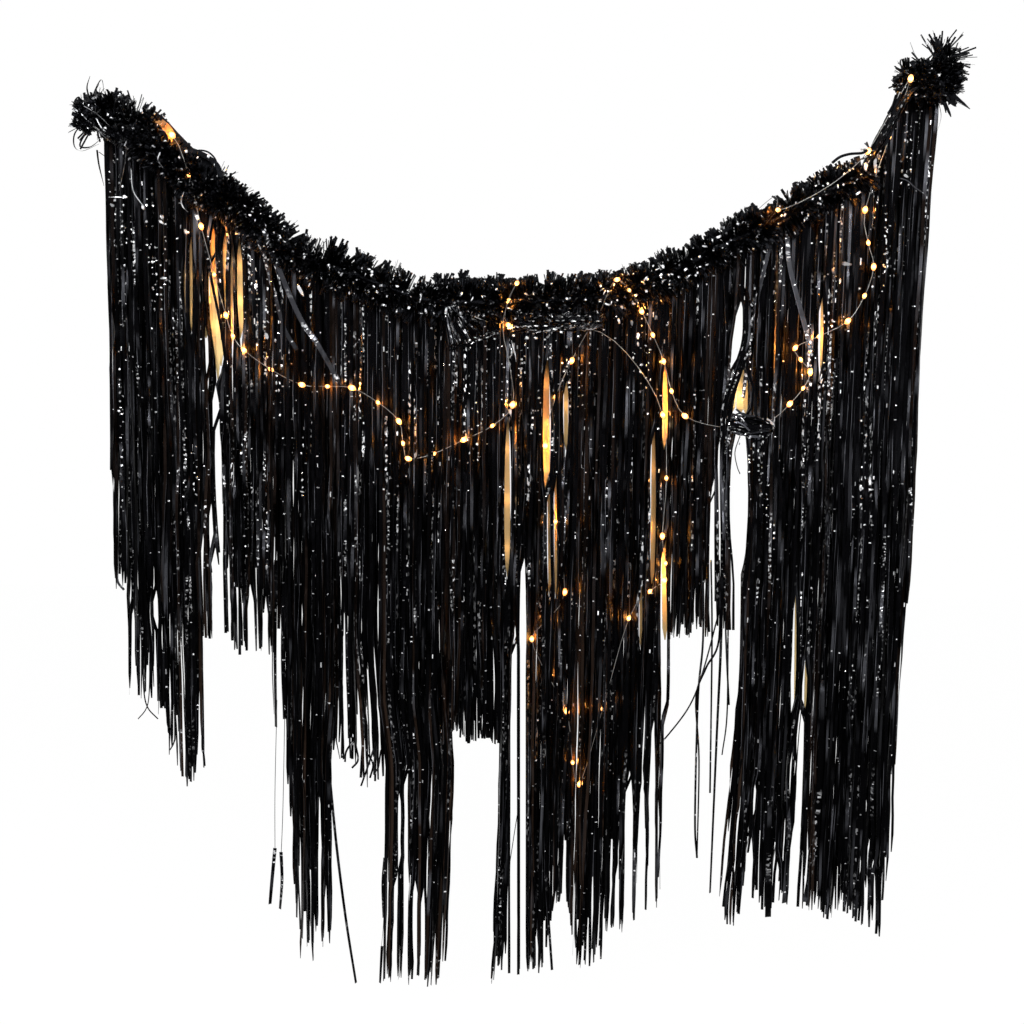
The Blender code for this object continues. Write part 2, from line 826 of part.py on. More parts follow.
def make_cells():
    """Two cells, head to tail, with the springs and plates that join them."""
    button_end = cell_length + cell_button_height
    profile = [
        (0, button_end),
        (cell_button_radius, button_end),
        (cell_button_radius, cell_length),
        (cell_radius, cell_length),
        (cell_radius, 0),
        (0, 0),
    ]
    left_face = bay_left_x + cell_clearance + plate_thickness
    right_face = bay_right_x - cell_clearance - plate_thickness
    for number, side in ((1, 1), (2, -1)):
        z = case_middle_z + side * cell_spacing / 2
        if side > 0:
            button_x = right_face - cell_clearance
            turned(f"aa_cell_{number}", profile, cell_label,
                   (button_x - button_end, cell_y, z), "X")
            spring_x = left_face + cell_clearance
        else:
            button_x = left_face + cell_clearance
            turned(f"aa_cell_{number}", profile, cell_label,
                   (button_x + button_end, cell_y, z), "-X")
            spring_x = right_face - cell_clearance - spring_length
        make_spring(f"contact_spring_{number}", Vector((spring_x, cell_y, z)))
    plate_reach = plate_height / 2
    depth_low = cell_y - plate_reach
    depth_high = cell_y + plate_reach
    box_between(
        "contact_bridge",
        (bay_left_x + cell_clearance, depth_low, case_middle_z - cell_spacing / 2 - plate_reach),
        (left_face, depth_high, case_middle_z + cell_spacing / 2 + plate_reach),
        contact_metal,
    )
    for number, side in ((1, 1), (2, -1)):
        z = case_middle_z + side * cell_spacing / 2
        box_between(
            f"contact_plate_{number}",
            (right_face, depth_low, z - plate_reach),
            (bay_right_x - cell_clearance, depth_high, z + plate_reach),
            contact_metal,
        )


def make_spring(name, start):
    """A coil along X that starts at the given place."""
    run = spring_length - 2 * spring_wire_radius
    steps = spring_turns * spring_turn_points
    coil = []
    for step in range(steps + 1):
        turn = 2 * math.pi * step / spring_turn_points
        coil.append(
            start
            + Vector((spring_wire_radius + run * step / steps, 0, 0))
            + Vector((0, math.cos(turn), math.sin(turn))) * spring_radius
        )
    least = min(
        (a - b).length
        for index, a in enumerate(coil)
        for b in coil[index + spring_turn_points - 1 :]
    )
    print(name, f"least gap to itself {1000 * (least - 2 * spring_wire_radius):.2f} mm")
    wire_tube(name, coil, spring_wire_radius, contact_metal, 1)


def make_switch():
    """The slider: a knob above the wall, a stem through its slot and a foot inside."""
    top = case_base_z + case_height
    inside = top - case_side_wall
    # Lit, the slider stands at the slot's right end.
    x = switch_x + switch_travel / 2
    knob = box_between(
        "switch_slider",
        (x - switch_knob_length / 2, cell_y - switch_knob_width / 2, top + switch_clearance),
        (x + switch_knob_length / 2, cell_y + switch_knob_width / 2,
         top + switch_clearance + switch_knob_height),
        switch_plastic,
    )
    stem = box_between(
        "switch_stem",
        (x - switch_stem_length / 2, cell_y - switch_stem_width / 2,
         inside - switch_clearance - switch_foot_height / 2),
        (x + switch_stem_length / 2, cell_y + switch_stem_width / 2,
         top + switch_clearance + switch_knob_height / 2),
        switch_plastic,
    )
    foot = box_between(
        "switch_foot",
        (x - switch_foot_length / 2, cell_y - switch_foot_width / 2,
         inside - switch_clearance - switch_foot_height),
        (x + switch_foot_length / 2, cell_y + switch_foot_width / 2, inside - switch_clearance),
        switch_plastic,
    )
    boolean(knob, stem, "UNION")
    boolean(knob, foot, "UNION")


def make_grommet():
    """The strain relief: a shank in the case's end wall, a flange and a tapered nose."""
    flange = grommet_flange_thickness
    profile = [
        (0, flange + grommet_nose_length),
        (grommet_nose_radius, flange + grommet_nose_length),
        (grommet_shank_radius, flange),
        (grommet_flange_radius, flange),
        (grommet_flange_radius, 0),
        (grommet_shank_radius, 0),
        (grommet_shank_radius, -case_wall - grommet_inset),
        (0, -case_wall - grommet_inset),
    ]
    place = (case_right_x + seat_gap, cell_y, grommet_z)
    turned("wire_grommet", profile, case_plastic, place, "X", 12)


def make_tie():
    """A closed twist of wire round the core and through the case's lug."""
    reach = core_radius + tie_radius + tie_slack
    x = lug_hole_x()
    core_z = np.interp(x, [p.x for p in core_curve], [p.z for p in core_curve])
    lug_y = case_back_y - lug_thickness / 2 - case_back_wall
    far_y = lug_y + lug_thickness / 2 + tie_radius + tie_slack
    loop = []
    for step in range(tie_arc_points + 1):
        turn = math.pi / 2 + math.pi * step / tie_arc_points
        loop.append(Vector((x, reach * math.cos(turn), core_z + reach * math.sin(turn))))
    hole_low = case_middle_z - lug_hole_height / 2 + tie_radius + tie_slack
    hole_high = case_middle_z + lug_height / 2 + tie_radius + tie_slack
    loop.append(Vector((x, lug_y - lug_thickness, core_z - reach)))
    loop.append(Vector((x, lug_y - lug_thickness / 2 - tie_radius - tie_slack, hole_low)))
    loop.append(Vector((x, far_y, hole_low)))
    loop.append(Vector((x, far_y, hole_high)))
    loop.append(Vector((x, lug_y - lug_thickness, hole_high)))
    wire_tube("case_tie", loop, tie_radius, twine, 1, closed=True)


def main():
    bristles = make_garland()
    make_neck()
    bristles += make_tuft("left_end_tuft", *left_tuft, tuft_bristle_length, left_loop)
    bristles += make_tuft("right_end_tuft", *right_tuft, end_tuft_bristle_length, right_loop)
    make_loops()
    strands = make_fringe()
    make_gathered_knot()
    leds = make_light_wire()
    make_case()
    make_cover()
    make_cells()
    make_switch()
    make_grommet()
    make_tie()
    print(f"{bristles} bristles, {strands} strands, {leds} LEDs on the wire")
    print(f"light wire {line_length(wire_line):.3f} m")


clear_scene()
parts = collection("fringe_door_curtain")
cutters = collection("cutters")
draw = random.Random(11)
tinsel = material("black_tinsel_film", (0.012, 0.012, 0.015), 0.30, 0.6)
foil = material("black_metallised_foil", (0.016, 0.017, 0.021), 0.18, 0.9)
silver_wire = material("silvered_copper_wire", (0.62, 0.60, 0.56), 0.30, 1.0)
resin = material("warm_led_resin", (1.0, 0.78, 0.42), 0.12)
twine = material("black_twine", (0.02, 0.02, 0.02), 0.8)
case_plastic = material("black_abs_case", (0.025, 0.025, 0.027), 0.45)
switch_plastic = material("grey_switch_plastic", (0.30, 0.30, 0.31), 0.5)
cell_label = material("cell_label_wrap", (0.55, 0.35, 0.12), 0.35)
contact_metal = material("nickel_contact_plate", (0.70, 0.68, 0.64), 0.28, 1.0)
main()
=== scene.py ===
"""Looks of the fringe door curtain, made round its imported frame.

Metres, in the frame of the CAD: X along the curtain to the right, Y from the viewer to the
wall, Z up, and the origin in the middle of the left hanging loop.
"""

import math
from collections import namedtuple

import bmesh
import bpy
import numpy as np
from mathutils import Matrix, Vector


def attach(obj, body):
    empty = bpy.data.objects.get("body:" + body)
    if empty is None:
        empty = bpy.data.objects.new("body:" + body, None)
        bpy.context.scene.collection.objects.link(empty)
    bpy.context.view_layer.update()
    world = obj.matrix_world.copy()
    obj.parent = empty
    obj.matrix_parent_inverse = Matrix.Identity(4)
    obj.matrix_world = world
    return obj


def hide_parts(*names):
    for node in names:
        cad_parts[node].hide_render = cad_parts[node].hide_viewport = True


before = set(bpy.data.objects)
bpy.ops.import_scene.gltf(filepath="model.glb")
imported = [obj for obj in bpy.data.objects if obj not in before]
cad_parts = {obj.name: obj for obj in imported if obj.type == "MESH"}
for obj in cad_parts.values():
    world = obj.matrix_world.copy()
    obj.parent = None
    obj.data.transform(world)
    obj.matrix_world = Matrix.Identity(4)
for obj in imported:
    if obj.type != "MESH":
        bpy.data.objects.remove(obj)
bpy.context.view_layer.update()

scene = bpy.context.scene
mm = 0.001
to_wall = np.array([0, 1.0, 0])

# Camera, as worked out from the photograph: its square picture is 1024 pixels wide
picture = 1024
focal_px = 1250
pitch = math.radians(7.0)
roll = math.radians(0.85)
sensor_mm = 36
camera_place = np.array([0.5241, -1.5781, -0.2884])
ahead = np.array([0, math.cos(pitch), -math.sin(pitch)])
level_right = np.array([1.0, 0, 0])
level_up = np.array([0, math.sin(pitch), math.cos(pitch)])
to_right = level_right * math.cos(roll) + level_up * math.sin(roll)
to_up = level_up * math.cos(roll) - level_right * math.sin(roll)


def seen(u, v, y=0.0):
    """The place at this depth that the picture shows at (u, v), in its pixels."""
    ray = ahead * focal_px + to_right * (u - picture / 2) + to_up * (picture / 2 - v)
    return camera_place + ray * (y - camera_place[1]) / ray[1]


def in_picture(places):
    """Where the picture shows these places, as (u, v) in its pixels."""
    off = places - camera_place
    deep = off @ ahead
    u = picture / 2 + focal_px * (off @ to_right) / deep
    v = picture / 2 - focal_px * (off @ to_up) / deep
    return u, v


def put(name, data, finish=None):
    """A new object of this data in the scene, with its finish if it has one."""
    if finish:
        data.materials.append(finish)
    made = bpy.data.objects.new(name, data)
    scene.collection.objects.link(made)
    return made


def make_camera():
    """The photograph's camera."""
    data = bpy.data.cameras.new("camera")
    data.sensor_width = sensor_mm
    data.lens = focal_px * sensor_mm / picture
    made = put("camera", data)
    turn = Matrix((to_right, to_up, -ahead)).transposed().to_4x4()
    made.matrix_world = Matrix.Translation(camera_place) @ turn
    scene.camera = made


# Colours and nodes


def colour(code):
    """A hex sRGB colour as the linear values that a shader takes."""
    parts = [int(code[k : k + 2], 16) / 255 for k in (1, 3, 5)]
    straight = [p / 12.92 if p <= 0.04045 else ((p + 0.055) / 1.055) ** 2.4 for p in parts]
    return (*straight, 1)


def add(tree, kind, inputs=(), **settings):
    """Add a node with its settings, its inputs set or linked, and give its outputs."""
    made = tree.nodes.new(kind)
    for key, value in settings.items():
        setattr(made, key, value)
    for key, value in dict(inputs).items():
        if isinstance(value, bpy.types.NodeSocket):
            tree.links.new(value, made.inputs[key])
        else:
            made.inputs[key].default_value = value
    return made.outputs


def material(name):
    """A new material, its node tree and its shader."""
    made = bpy.data.materials.new(name)
    made.use_nodes = True
    tree = made.node_tree
    return made, tree, tree.nodes["Principled BSDF"]


# Finishes

strand_width = 0.0042
# What the film shows along a strand: facets; painted glints as crumples, and as dashes and streaks
# of bare metal; long stretches that are crimped; and painted sheen on paler stretches and one edge
facet_length = 0.010
facet_relief = 0.0022
speckle_length = 0.0034
dash_pitch = 0.0078
streak_pitch = 0.048
streak_share = 0.05
bristle_dash_pitch = 0.012
crimped_length = 1 / 8
paler_length = 1 / 9
pale_edge_length = 1 / 6
reverse_cloud_length = 1 / 14
# How the dashes of painted glints vary
dash_off_centre = 0.15
narrowest_dash_share = 0.4
dimmest_dash = 0.20
dim_dashes_power = 1.6


def along_strip(tree, strip, length, low, high):
    """Soft stretches of this length along a strip: 0 to 1 as noise goes from low to high."""
    place = add(tree, "ShaderNodeMath", {0: strip["Y"], 1: length}, operation="DIVIDE")[0]
    noise = add(tree, "ShaderNodeTexNoise", {"W": place, "Scale": 1.0, "Detail": 1.0},
                noise_dimensions="1D")["Fac"]
    return add(tree, "ShaderNodeMapRange", {"Value": noise, "From Min": low, "From Max": high})[0]


def dashes(tree, strip, pitch, density, least, most, widest):
    """Marks one behind the other along a strip, each with its own place, size and brightness.

    There is one in each stretch of this pitch where a random number is below density. Half its
    length lies between least and most of the pitch, its half width is up to widest of the strip.
    """
    place = add(tree, "ShaderNodeMath", {0: strip["Y"], 1: pitch}, operation="DIVIDE")[0]
    row = add(tree, "ShaderNodeMath", {0: place}, operation="FLOOR")[0]
    luck = add(tree, "ShaderNodeTexWhiteNoise", {"W": row}, noise_dimensions="1D")
    own = add(tree, "ShaderNodeSeparateXYZ", {0: luck["Color"]})
    there = add(tree, "ShaderNodeMath", {0: luck["Value"], 1: density}, operation="LESS_THAN")[0]
    within = add(tree, "ShaderNodeMath", {0: place}, operation="FRACT")[0]
    centre = add(tree, "ShaderNodeMapRange", {"Value": own["Y"], "To Min": most,
                 "To Max": 1 - most})[0]
    off = add(tree, "ShaderNodeMath", {0: within, 1: centre}, operation="SUBTRACT")[0]
    off = add(tree, "ShaderNodeMath", {0: off}, operation="ABSOLUTE")[0]
    half = add(tree, "ShaderNodeMapRange", {"Value": own["X"], "To Min": least, "To Max": most})[0]
    long = add(tree, "ShaderNodeMath", {0: off, 1: half}, operation="LESS_THAN")[0]
    middle = add(tree, "ShaderNodeMapRange", {"Value": own["X"], "To Min": 0.5 + dash_off_centre,
                 "To Max": 0.5 - dash_off_centre})[0]
    side = add(tree, "ShaderNodeMath", {0: strip["X"], 1: middle}, operation="SUBTRACT")[0]
    side = add(tree, "ShaderNodeMath", {0: side}, operation="ABSOLUTE")[0]
    room = add(tree, "ShaderNodeMapRange", {"Value": own["Y"],
               "To Min": widest * narrowest_dash_share, "To Max": widest})[0]
    wide = add(tree, "ShaderNodeMath", {0: side, 1: room}, operation="LESS_THAN")[0]
    mark = add(tree, "ShaderNodeMath", {0: there, 1: long}, operation="MULTIPLY")[0]
    mark = add(tree, "ShaderNodeMath", {0: mark, 1: wide}, operation="MULTIPLY")[0]
    bright = add(tree, "ShaderNodeMath", {0: own["Z"], 1: dim_dashes_power}, operation="POWER")[0]
    bright = add(tree, "ShaderNodeMapRange", {"Value": bright, "To Min": dimmest_dash})[0]
    return add(tree, "ShaderNodeMath", {0: mark, 1: bright}, operation="MULTIPLY")[0]


def speckle(tree, over, crowd):
    """Painted glints where crowd is high: fine crumpling in cells of a few millimetres, some
    bright.
    """
    scaled = add(tree, "ShaderNodeVectorMath", {0: over, 1: (1.7, 1 / speckle_length, 1)},
                 operation="MULTIPLY")[0]
    cells = add(tree, "ShaderNodeTexVoronoi", {"Vector": scaled, "Scale": 1.0},
                voronoi_dimensions="2D")
    luck = add(tree, "ShaderNodeSeparateXYZ", {0: cells["Color"]})
    there = add(tree, "ShaderNodeMath", {0: luck["X"], 1: 0.66}, operation="GREATER_THAN")[0]
    bright = add(tree, "ShaderNodeMapRange", {"Value": luck["Y"], "From Min": 0.3,
                 "To Min": 0.02, "To Max": 0.75})[0]
    shown = add(tree, "ShaderNodeMath", {0: there, 1: bright}, operation="MULTIPLY")[0]
    return add(tree, "ShaderNodeMath", {0: shown, 1: crowd}, operation="MULTIPLY")[0]


def facets(tree, over):
    """Relief of flat facets: a random tilt for each cell of the strip."""
    scaled = add(tree, "ShaderNodeVectorMath", {0: over, 1: (0.8, 1 / facet_length, 1)},
                 operation="MULTIPLY")[0]
    facet = add(tree, "ShaderNodeTexVoronoi", {"Vector": scaled, "Scale": 1.0},
                voronoi_dimensions="2D")
    from_middle = add(tree, "ShaderNodeVectorMath", {0: scaled, 1: facet["Position"]},
                      operation="SUBTRACT")[0]
    tilt = add(tree, "ShaderNodeVectorMath", {0: facet["Color"], 1: (0.5, 0.5, 0.5)},
               operation="SUBTRACT")[0]
    slope = add(tree, "ShaderNodeVectorMath", {0: tilt, 1: (0.45, 1.0, 0.0)},
                operation="MULTIPLY")[0]
    ramp = add(tree, "ShaderNodeVectorMath", {0: from_middle, 1: slope},
               operation="DOT_PRODUCT")["Value"]
    return add(tree, "ShaderNodeBump", {"Height": ramp, "Strength": 1.0,
               "Distance": facet_relief})["Normal"]


def painted_glints(tree, over, strip, crimp):
    """Painted glints as metal where the lacquer is gone: dashes, longer streaks and crumpled spots.

    There are many of them where a strand is crimped and few elsewhere. A strip whose crimp is
    above one is painted bright all over.
    """
    crowd = along_strip(tree, strip, crimped_length, low=0.50, high=0.56)
    crowd = add(tree, "ShaderNodeMath", {0: crowd, 1: crimp}, operation="MULTIPLY")[0]
    density = add(tree, "ShaderNodeMapRange", {"Value": crowd, "To Min": 0.040, "To Max": 0.50})[0]
    dash = dashes(tree, strip, dash_pitch, density, least=0.08, most=0.34, widest=0.40)
    streak = dashes(tree, strip, streak_pitch, streak_share, least=0.05, most=0.26, widest=0.22)
    bare = add(tree, "ShaderNodeMath", {0: dash, 1: streak}, operation="MAXIMUM")[0]
    # Painted glints of crumpled film, in fine cells
    rumpled = speckle(tree, over, crowd)
    bare = add(tree, "ShaderNodeMath", {0: bare, 1: rumpled}, operation="MAXIMUM")[0]
    glint_all_over = add(tree, "ShaderNodeMath", {0: crimp, 1: 1.0}, operation="SUBTRACT")[0]
    return add(tree, "ShaderNodeMath", {0: bare, 1: glint_all_over}, operation="MAXIMUM")[0]


def painted_sheen(tree, strip, shade):
    """Where a strip is painted pale as sheen, and the stretches that are glossier.

    Long stretches of pale strands are glossier and painted pale, and so is all of a strip whose
    shade is above one. A painted highlight lies along one edge here and there.
    """
    thin = along_strip(tree, strip, paler_length, low=0.54, high=0.70)
    thin = add(tree, "ShaderNodeMath", {0: thin, 1: shade}, operation="MULTIPLY")[0]
    always = add(tree, "ShaderNodeMath", {0: shade, 1: 1.0}, operation="SUBTRACT")[0]
    thin = add(tree, "ShaderNodeMath", {0: thin, 1: always}, operation="MAXIMUM")[0]
    edge = add(tree, "ShaderNodeMapRange", {"Value": strip["X"], "From Min": 0.20,
               "From Max": 0.06})[0]
    lit = along_strip(tree, strip, pale_edge_length, low=0.54, high=0.64)
    edge = add(tree, "ShaderNodeMath", {0: edge, 1: lit}, operation="MULTIPLY")[0]
    pale = add(tree, "ShaderNodeMath", {0: edge, 1: thin}, operation="MAXIMUM")[0]
    return thin, pale


def black_metallised_film():
    """Polyester film with an aluminium layer under black lacquer, slit into strands.

    It mirrors its surroundings darkly; painted sheen makes it paler on long stretches and along
    the slit edges. Packing has crimped some strands in places, and there painted glints, drawn as
    cracks in the lacquer, show as rows of bright dashes. Single strands are painted brown for the
    light behind them. The dashes are coarser than real cracks, which a picture this size would
    lose.
    """
    made, tree, shader = material("black_metallised_film")
    over = add(tree, "ShaderNodeUVMap", uv_map="film")["UV"]
    strip = add(tree, "ShaderNodeSeparateXYZ", {0: over})
    shade, crimp, brown = [add(tree, "ShaderNodeAttribute", attribute_name=key)["Fac"]
                           for key in ("shade", "crimp", "brown")]
    # bare is painted glints: bright metal where the lacquer is drawn as cracked
    bare = painted_glints(tree, over, strip, crimp)
    # pale is painted sheen on stretches and one edge; thin marks the glossier stretches
    thin, pale = painted_sheen(tree, strip, shade)
    # Painted backlight: the black turns brown where brown is set
    black = add(tree, "ShaderNodeMix", {"Factor": brown, 6: colour("#050506"),
                7: colour("#2b211b")}, data_type="RGBA")[2]
    lacquer = add(tree, "ShaderNodeMix", {"Factor": pale, 6: black,
                  7: colour("#4a4b50")}, data_type="RGBA")[2]
    face = add(tree, "ShaderNodeMix", {"Factor": bare, 6: lacquer, 7: colour("#f0f1f4")},
               data_type="RGBA")[2]
    clean = add(tree, "ShaderNodeMath", {0: thin, 1: bare}, operation="MAXIMUM")[0]
    gloss = add(tree, "ShaderNodeMapRange", {"Value": clean, "To Min": 0.44, "To Max": 0.22})[0]
    shader.inputs["Metallic"].default_value = 1
    tree.links.new(face, shader.inputs["Base Color"])
    tree.links.new(gloss, shader.inputs["Roughness"])
    tree.links.new(facets(tree, over), shader.inputs["Normal"])
    return made


def film_reverse_painted_warm():
    """Reverse of the film, a thin vapour-deposited gold layer on matt polyester.

    It has no lacquer, so it spreads the warm light of the LEDs. Its colour paints that warm light
    in
    as well: deep gold, clouded where the layer is uneven, and pale where a strip's shade says that
    much light reaches it.
    """
    made, tree, shader = material("film_reverse_painted_warm")
    over = add(tree, "ShaderNodeUVMap", uv_map="film")["UV"]
    strip = add(tree, "ShaderNodeSeparateXYZ", {0: over})
    cloud = along_strip(tree, strip, reverse_cloud_length, low=0.35, high=0.65)
    shade = add(tree, "ShaderNodeAttribute", attribute_name="shade")["Fac"]
    deep = add(tree, "ShaderNodeMix", {"Factor": cloud, 6: colour("#96622f"),
               7: colour("#b07a3c")}, data_type="RGBA")[2]
    tint = add(tree, "ShaderNodeMix", {"Factor": shade, 6: deep, 7: colour("#f8da98")},
               data_type="RGBA")[2]
    shader.inputs["Metallic"].default_value = 0.25
    shader.inputs["Roughness"].default_value = 0.55
    tree.links.new(tint, shader.inputs["Base Color"])
    return made


def black_tinsel_film():
    """Thicker black polyester film cut into short bristles for tinsel.

    It is glossy and a little wavy. On the palest bristles, painted glints drawn as lacquer chipped
    off the cut ends show as bright dashes.
    """
    made, tree, shader = material("black_tinsel_film")
    strip = add(tree, "ShaderNodeUVMap", uv_map="film")["UV"]
    shade = add(tree, "ShaderNodeAttribute", attribute_name="shade")["Fac"]
    fine = add(tree, "ShaderNodeVectorMath", {0: strip, 1: (0.6, 140.0, 1)},
               operation="MULTIPLY")[0]
    waves = add(tree, "ShaderNodeTexNoise", {"Vector": fine, "Scale": 1.0, "Detail": 1.0})["Fac"]
    relief = add(tree, "ShaderNodeBump", {"Height": waves, "Strength": 0.5,
                 "Distance": 0.003})["Normal"]
    tint = add(tree, "ShaderNodeMix", {"Factor": shade, 6: colour("#040405"),
               7: colour("#191a1d")}, data_type="RGBA")[2]
    parts = add(tree, "ShaderNodeSeparateXYZ", {0: strip})
    # Painted glints: dashes on the palest bristles, and all over where crimp is set
    density = add(tree, "ShaderNodeMapRange", {"Value": shade, "From Min": 0.82,
                  "From Max": 0.83, "To Min": 0.0, "To Max": 0.9})[0]
    bare = dashes(tree, parts, bristle_dash_pitch, density, least=0.08, most=0.22, widest=0.50)
    crimp = add(tree, "ShaderNodeAttribute", attribute_name="crimp")["Fac"]
    bare = add(tree, "ShaderNodeMath", {0: bare, 1: crimp}, operation="MAXIMUM")[0]
    face = add(tree, "ShaderNodeMix", {"Factor": bare, 6: tint, 7: colour("#eceef2")},
               data_type="RGBA")[2]
    shader.inputs["Metallic"].default_value = 1
    shader.inputs["Roughness"].default_value = 0.36
    tree.links.new(face, shader.inputs["Base Color"])
    tree.links.new(relief, shader.inputs["Normal"])
    return made


def silvered_copper_wire():
    """Two fine silvered copper wires under clear lacquer, twisted: thin, pale and glossy."""
    made, tree, shader = material("silvered_copper_wire")
    place = add(tree, "ShaderNodeTexCoord")["Object"]
    tarnish = add(tree, "ShaderNodeTexNoise", {"Vector": place, "Scale": 60.0})["Fac"]
    tint = add(tree, "ShaderNodeMix", {"Factor": tarnish, 6: colour("#a9a9a7"),
               7: colour("#4e4c49")}, data_type="RGBA")[2]
    shader.inputs["Metallic"].default_value = 1
    shader.inputs["Roughness"].default_value = 0.28
    tree.links.new(tint, shader.inputs["Base Color"])
    return made


def lit_resin():
    """Clear epoxy drop cast over a warm white LED: white-hot in its middle, amber at its ends."""
    made, tree, shader = material("lit_resin")
    middle = add(tree, "ShaderNodeAttribute", attribute_name="shade")["Fac"]
    glow = add(tree, "ShaderNodeMapRange", {"Value": middle, "To Min": 1.1, "To Max": 6.0})[0]
    tint = add(tree, "ShaderNodeMix", {"Factor": middle, 6: colour("#ff7d14"),
               7: colour("#ffca78")}, data_type="RGBA")[2]
    shader.inputs["Base Color"].default_value = colour("#ffcf8a")
    shader.inputs["Roughness"].default_value = 0.15
    tree.links.new(tint, shader.inputs["Emission Color"])
    tree.links.new(glow, shader.inputs["Emission Strength"])
    return made


polish_play = 0.08


def plain_finish(name, low, high, grain_mm, rough, metallic=0.0, relief=0.1, stretch=(1, 1, 1)):
    """A finish with one even grain of this size in mm: its two shades, polish and relief."""
    made, tree, shader = material(name)
    place = add(tree, "ShaderNodeTexCoord")["Object"]
    spread = add(tree, "ShaderNodeVectorMath", {0: place, 1: stretch}, operation="MULTIPLY")[0]
    grain = add(tree, "ShaderNodeTexNoise", {"Vector": spread, "Scale": 1000 / grain_mm,
                "Detail": 3.0})["Fac"]
    tint = add(tree, "ShaderNodeMix", {"Factor": grain, 6: colour(low), 7: colour(high)},
               data_type="RGBA")[2]
    worn = add(tree, "ShaderNodeMapRange", {"Value": grain, "To Min": rough - polish_play,
               "To Max": rough + polish_play})[0]
    bump = add(tree, "ShaderNodeBump", {"Height": grain, "Strength": relief,
               "Distance": grain_mm / 2000})["Normal"]
    shader.inputs["Metallic"].default_value = metallic
    tree.links.new(tint, shader.inputs["Base Color"])
    tree.links.new(worn, shader.inputs["Roughness"])
    tree.links.new(bump, shader.inputs["Normal"])
    return made


film = black_metallised_film()
reverse = film_reverse_painted_warm()
tinsel = black_tinsel_film()
wire_metal = silvered_copper_wire()
resin = lit_resin()
# Twisted polyester twine: matt, with the fine shadow lines of its plies
twine = plain_finish("black_polyester_twine", "#08080a", "#1c1c20", grain_mm=0.9, rough=0.75,
                     relief=0.6)
# Moulded ABS with a spark-eroded texture: a fine even grain that breaks up its sheen
case_abs = plain_finish("moulded_black_abs", "#0e0e10", "#18181b", grain_mm=0.6, rough=0.48,
                        relief=0.25)
switch_abs = plain_finish("moulded_grey_abs", "#56575a", "#67686c", grain_mm=0.6, rough=0.5,
                          relief=0.2)
# Shrunk PVC sleeve round a dry cell: smooth, a little wavy
cell_sleeve = plain_finish("shrunk_pvc_sleeve", "#17181b", "#222327", grain_mm=6.0, rough=0.3)
# Nickel-plated spring steel: bright, with fine lines from rolling
nickel = plain_finish("nickel_plated_steel", "#b9b5ac", "#d0ccc4", grain_mm=0.8, rough=0.28,
                      metallic=1.0, stretch=(1, 1, 9))


# Film strips

Strip = namedtuple("Strip", "line across width thickness shade start crimp brown")


def make_strip(draw, line, across, width, thickness, shade, crimp=0.0, brown=0.0):
    """A strip of film along a line, across which its width lies at each point.

    It is this pale, crimped and brown. Its patterns start at a random place.
    """
    return Strip(line, across, width, thickness, shade, draw.uniform(0, 60), crimp, brown)


def unit(way):
    """This direction, at length one."""
    return way / np.linalg.norm(way)


def units(ways):
    """These directions, one to a row, each at length one."""
    return ways / np.linalg.norm(ways, axis=1, keepdims=True)


def distance_along(line):
    """How far along the line each of its points lies."""
    return np.concatenate([[0], np.cumsum(np.linalg.norm(np.diff(line, axis=0), axis=1))])


def line_length(line):
    """Length of the line along its points."""
    return np.sum(np.linalg.norm(np.diff(line, axis=0), axis=1))


def strip_corners(strip):
    """The four corners of a strip's section at each point of its line, point by point."""
    line = strip.line
    run = units(np.gradient(line, axis=0))
    across = units(strip.across - run * np.sum(strip.across * run, axis=1, keepdims=True))
    depth = np.cross(run, across) * strip.thickness / 2
    half = across * (np.broadcast_to(strip.width, (len(line),))[:, None] / 2)
    return np.stack([line - half - depth, line + half - depth, line + half + depth,
                     line - half + depth], axis=1).reshape(-1, 3)


def strip_faces(first, count):
    """The faces round a strip of count sections whose corners start at first, and its ends."""
    base = first + 4 * np.arange(count - 1)[:, None]
    faces = []
    for k in range(4):
        j = (k + 1) % 4
        faces.append(np.concatenate([base + k, base + j, base + 4 + j, base + 4 + k], 1))
    end = first + 4 * (count - 1)
    faces.append(np.array([[first + 3, first + 2, first + 1, first],
                           [end, end + 1, end + 2, end + 3]]))
    return faces


def strip_pattern(strip):
    """Where the film's pattern lies on a strip's corners, a little stretched on each strip."""
    stretch = 0.65 + 0.9 * (strip.start % 1)
    along = distance_along(strip.line) * stretch + strip.start
    return np.stack([np.tile([0, 1, 1, 0], len(along)), np.repeat(along, 4)], 1)


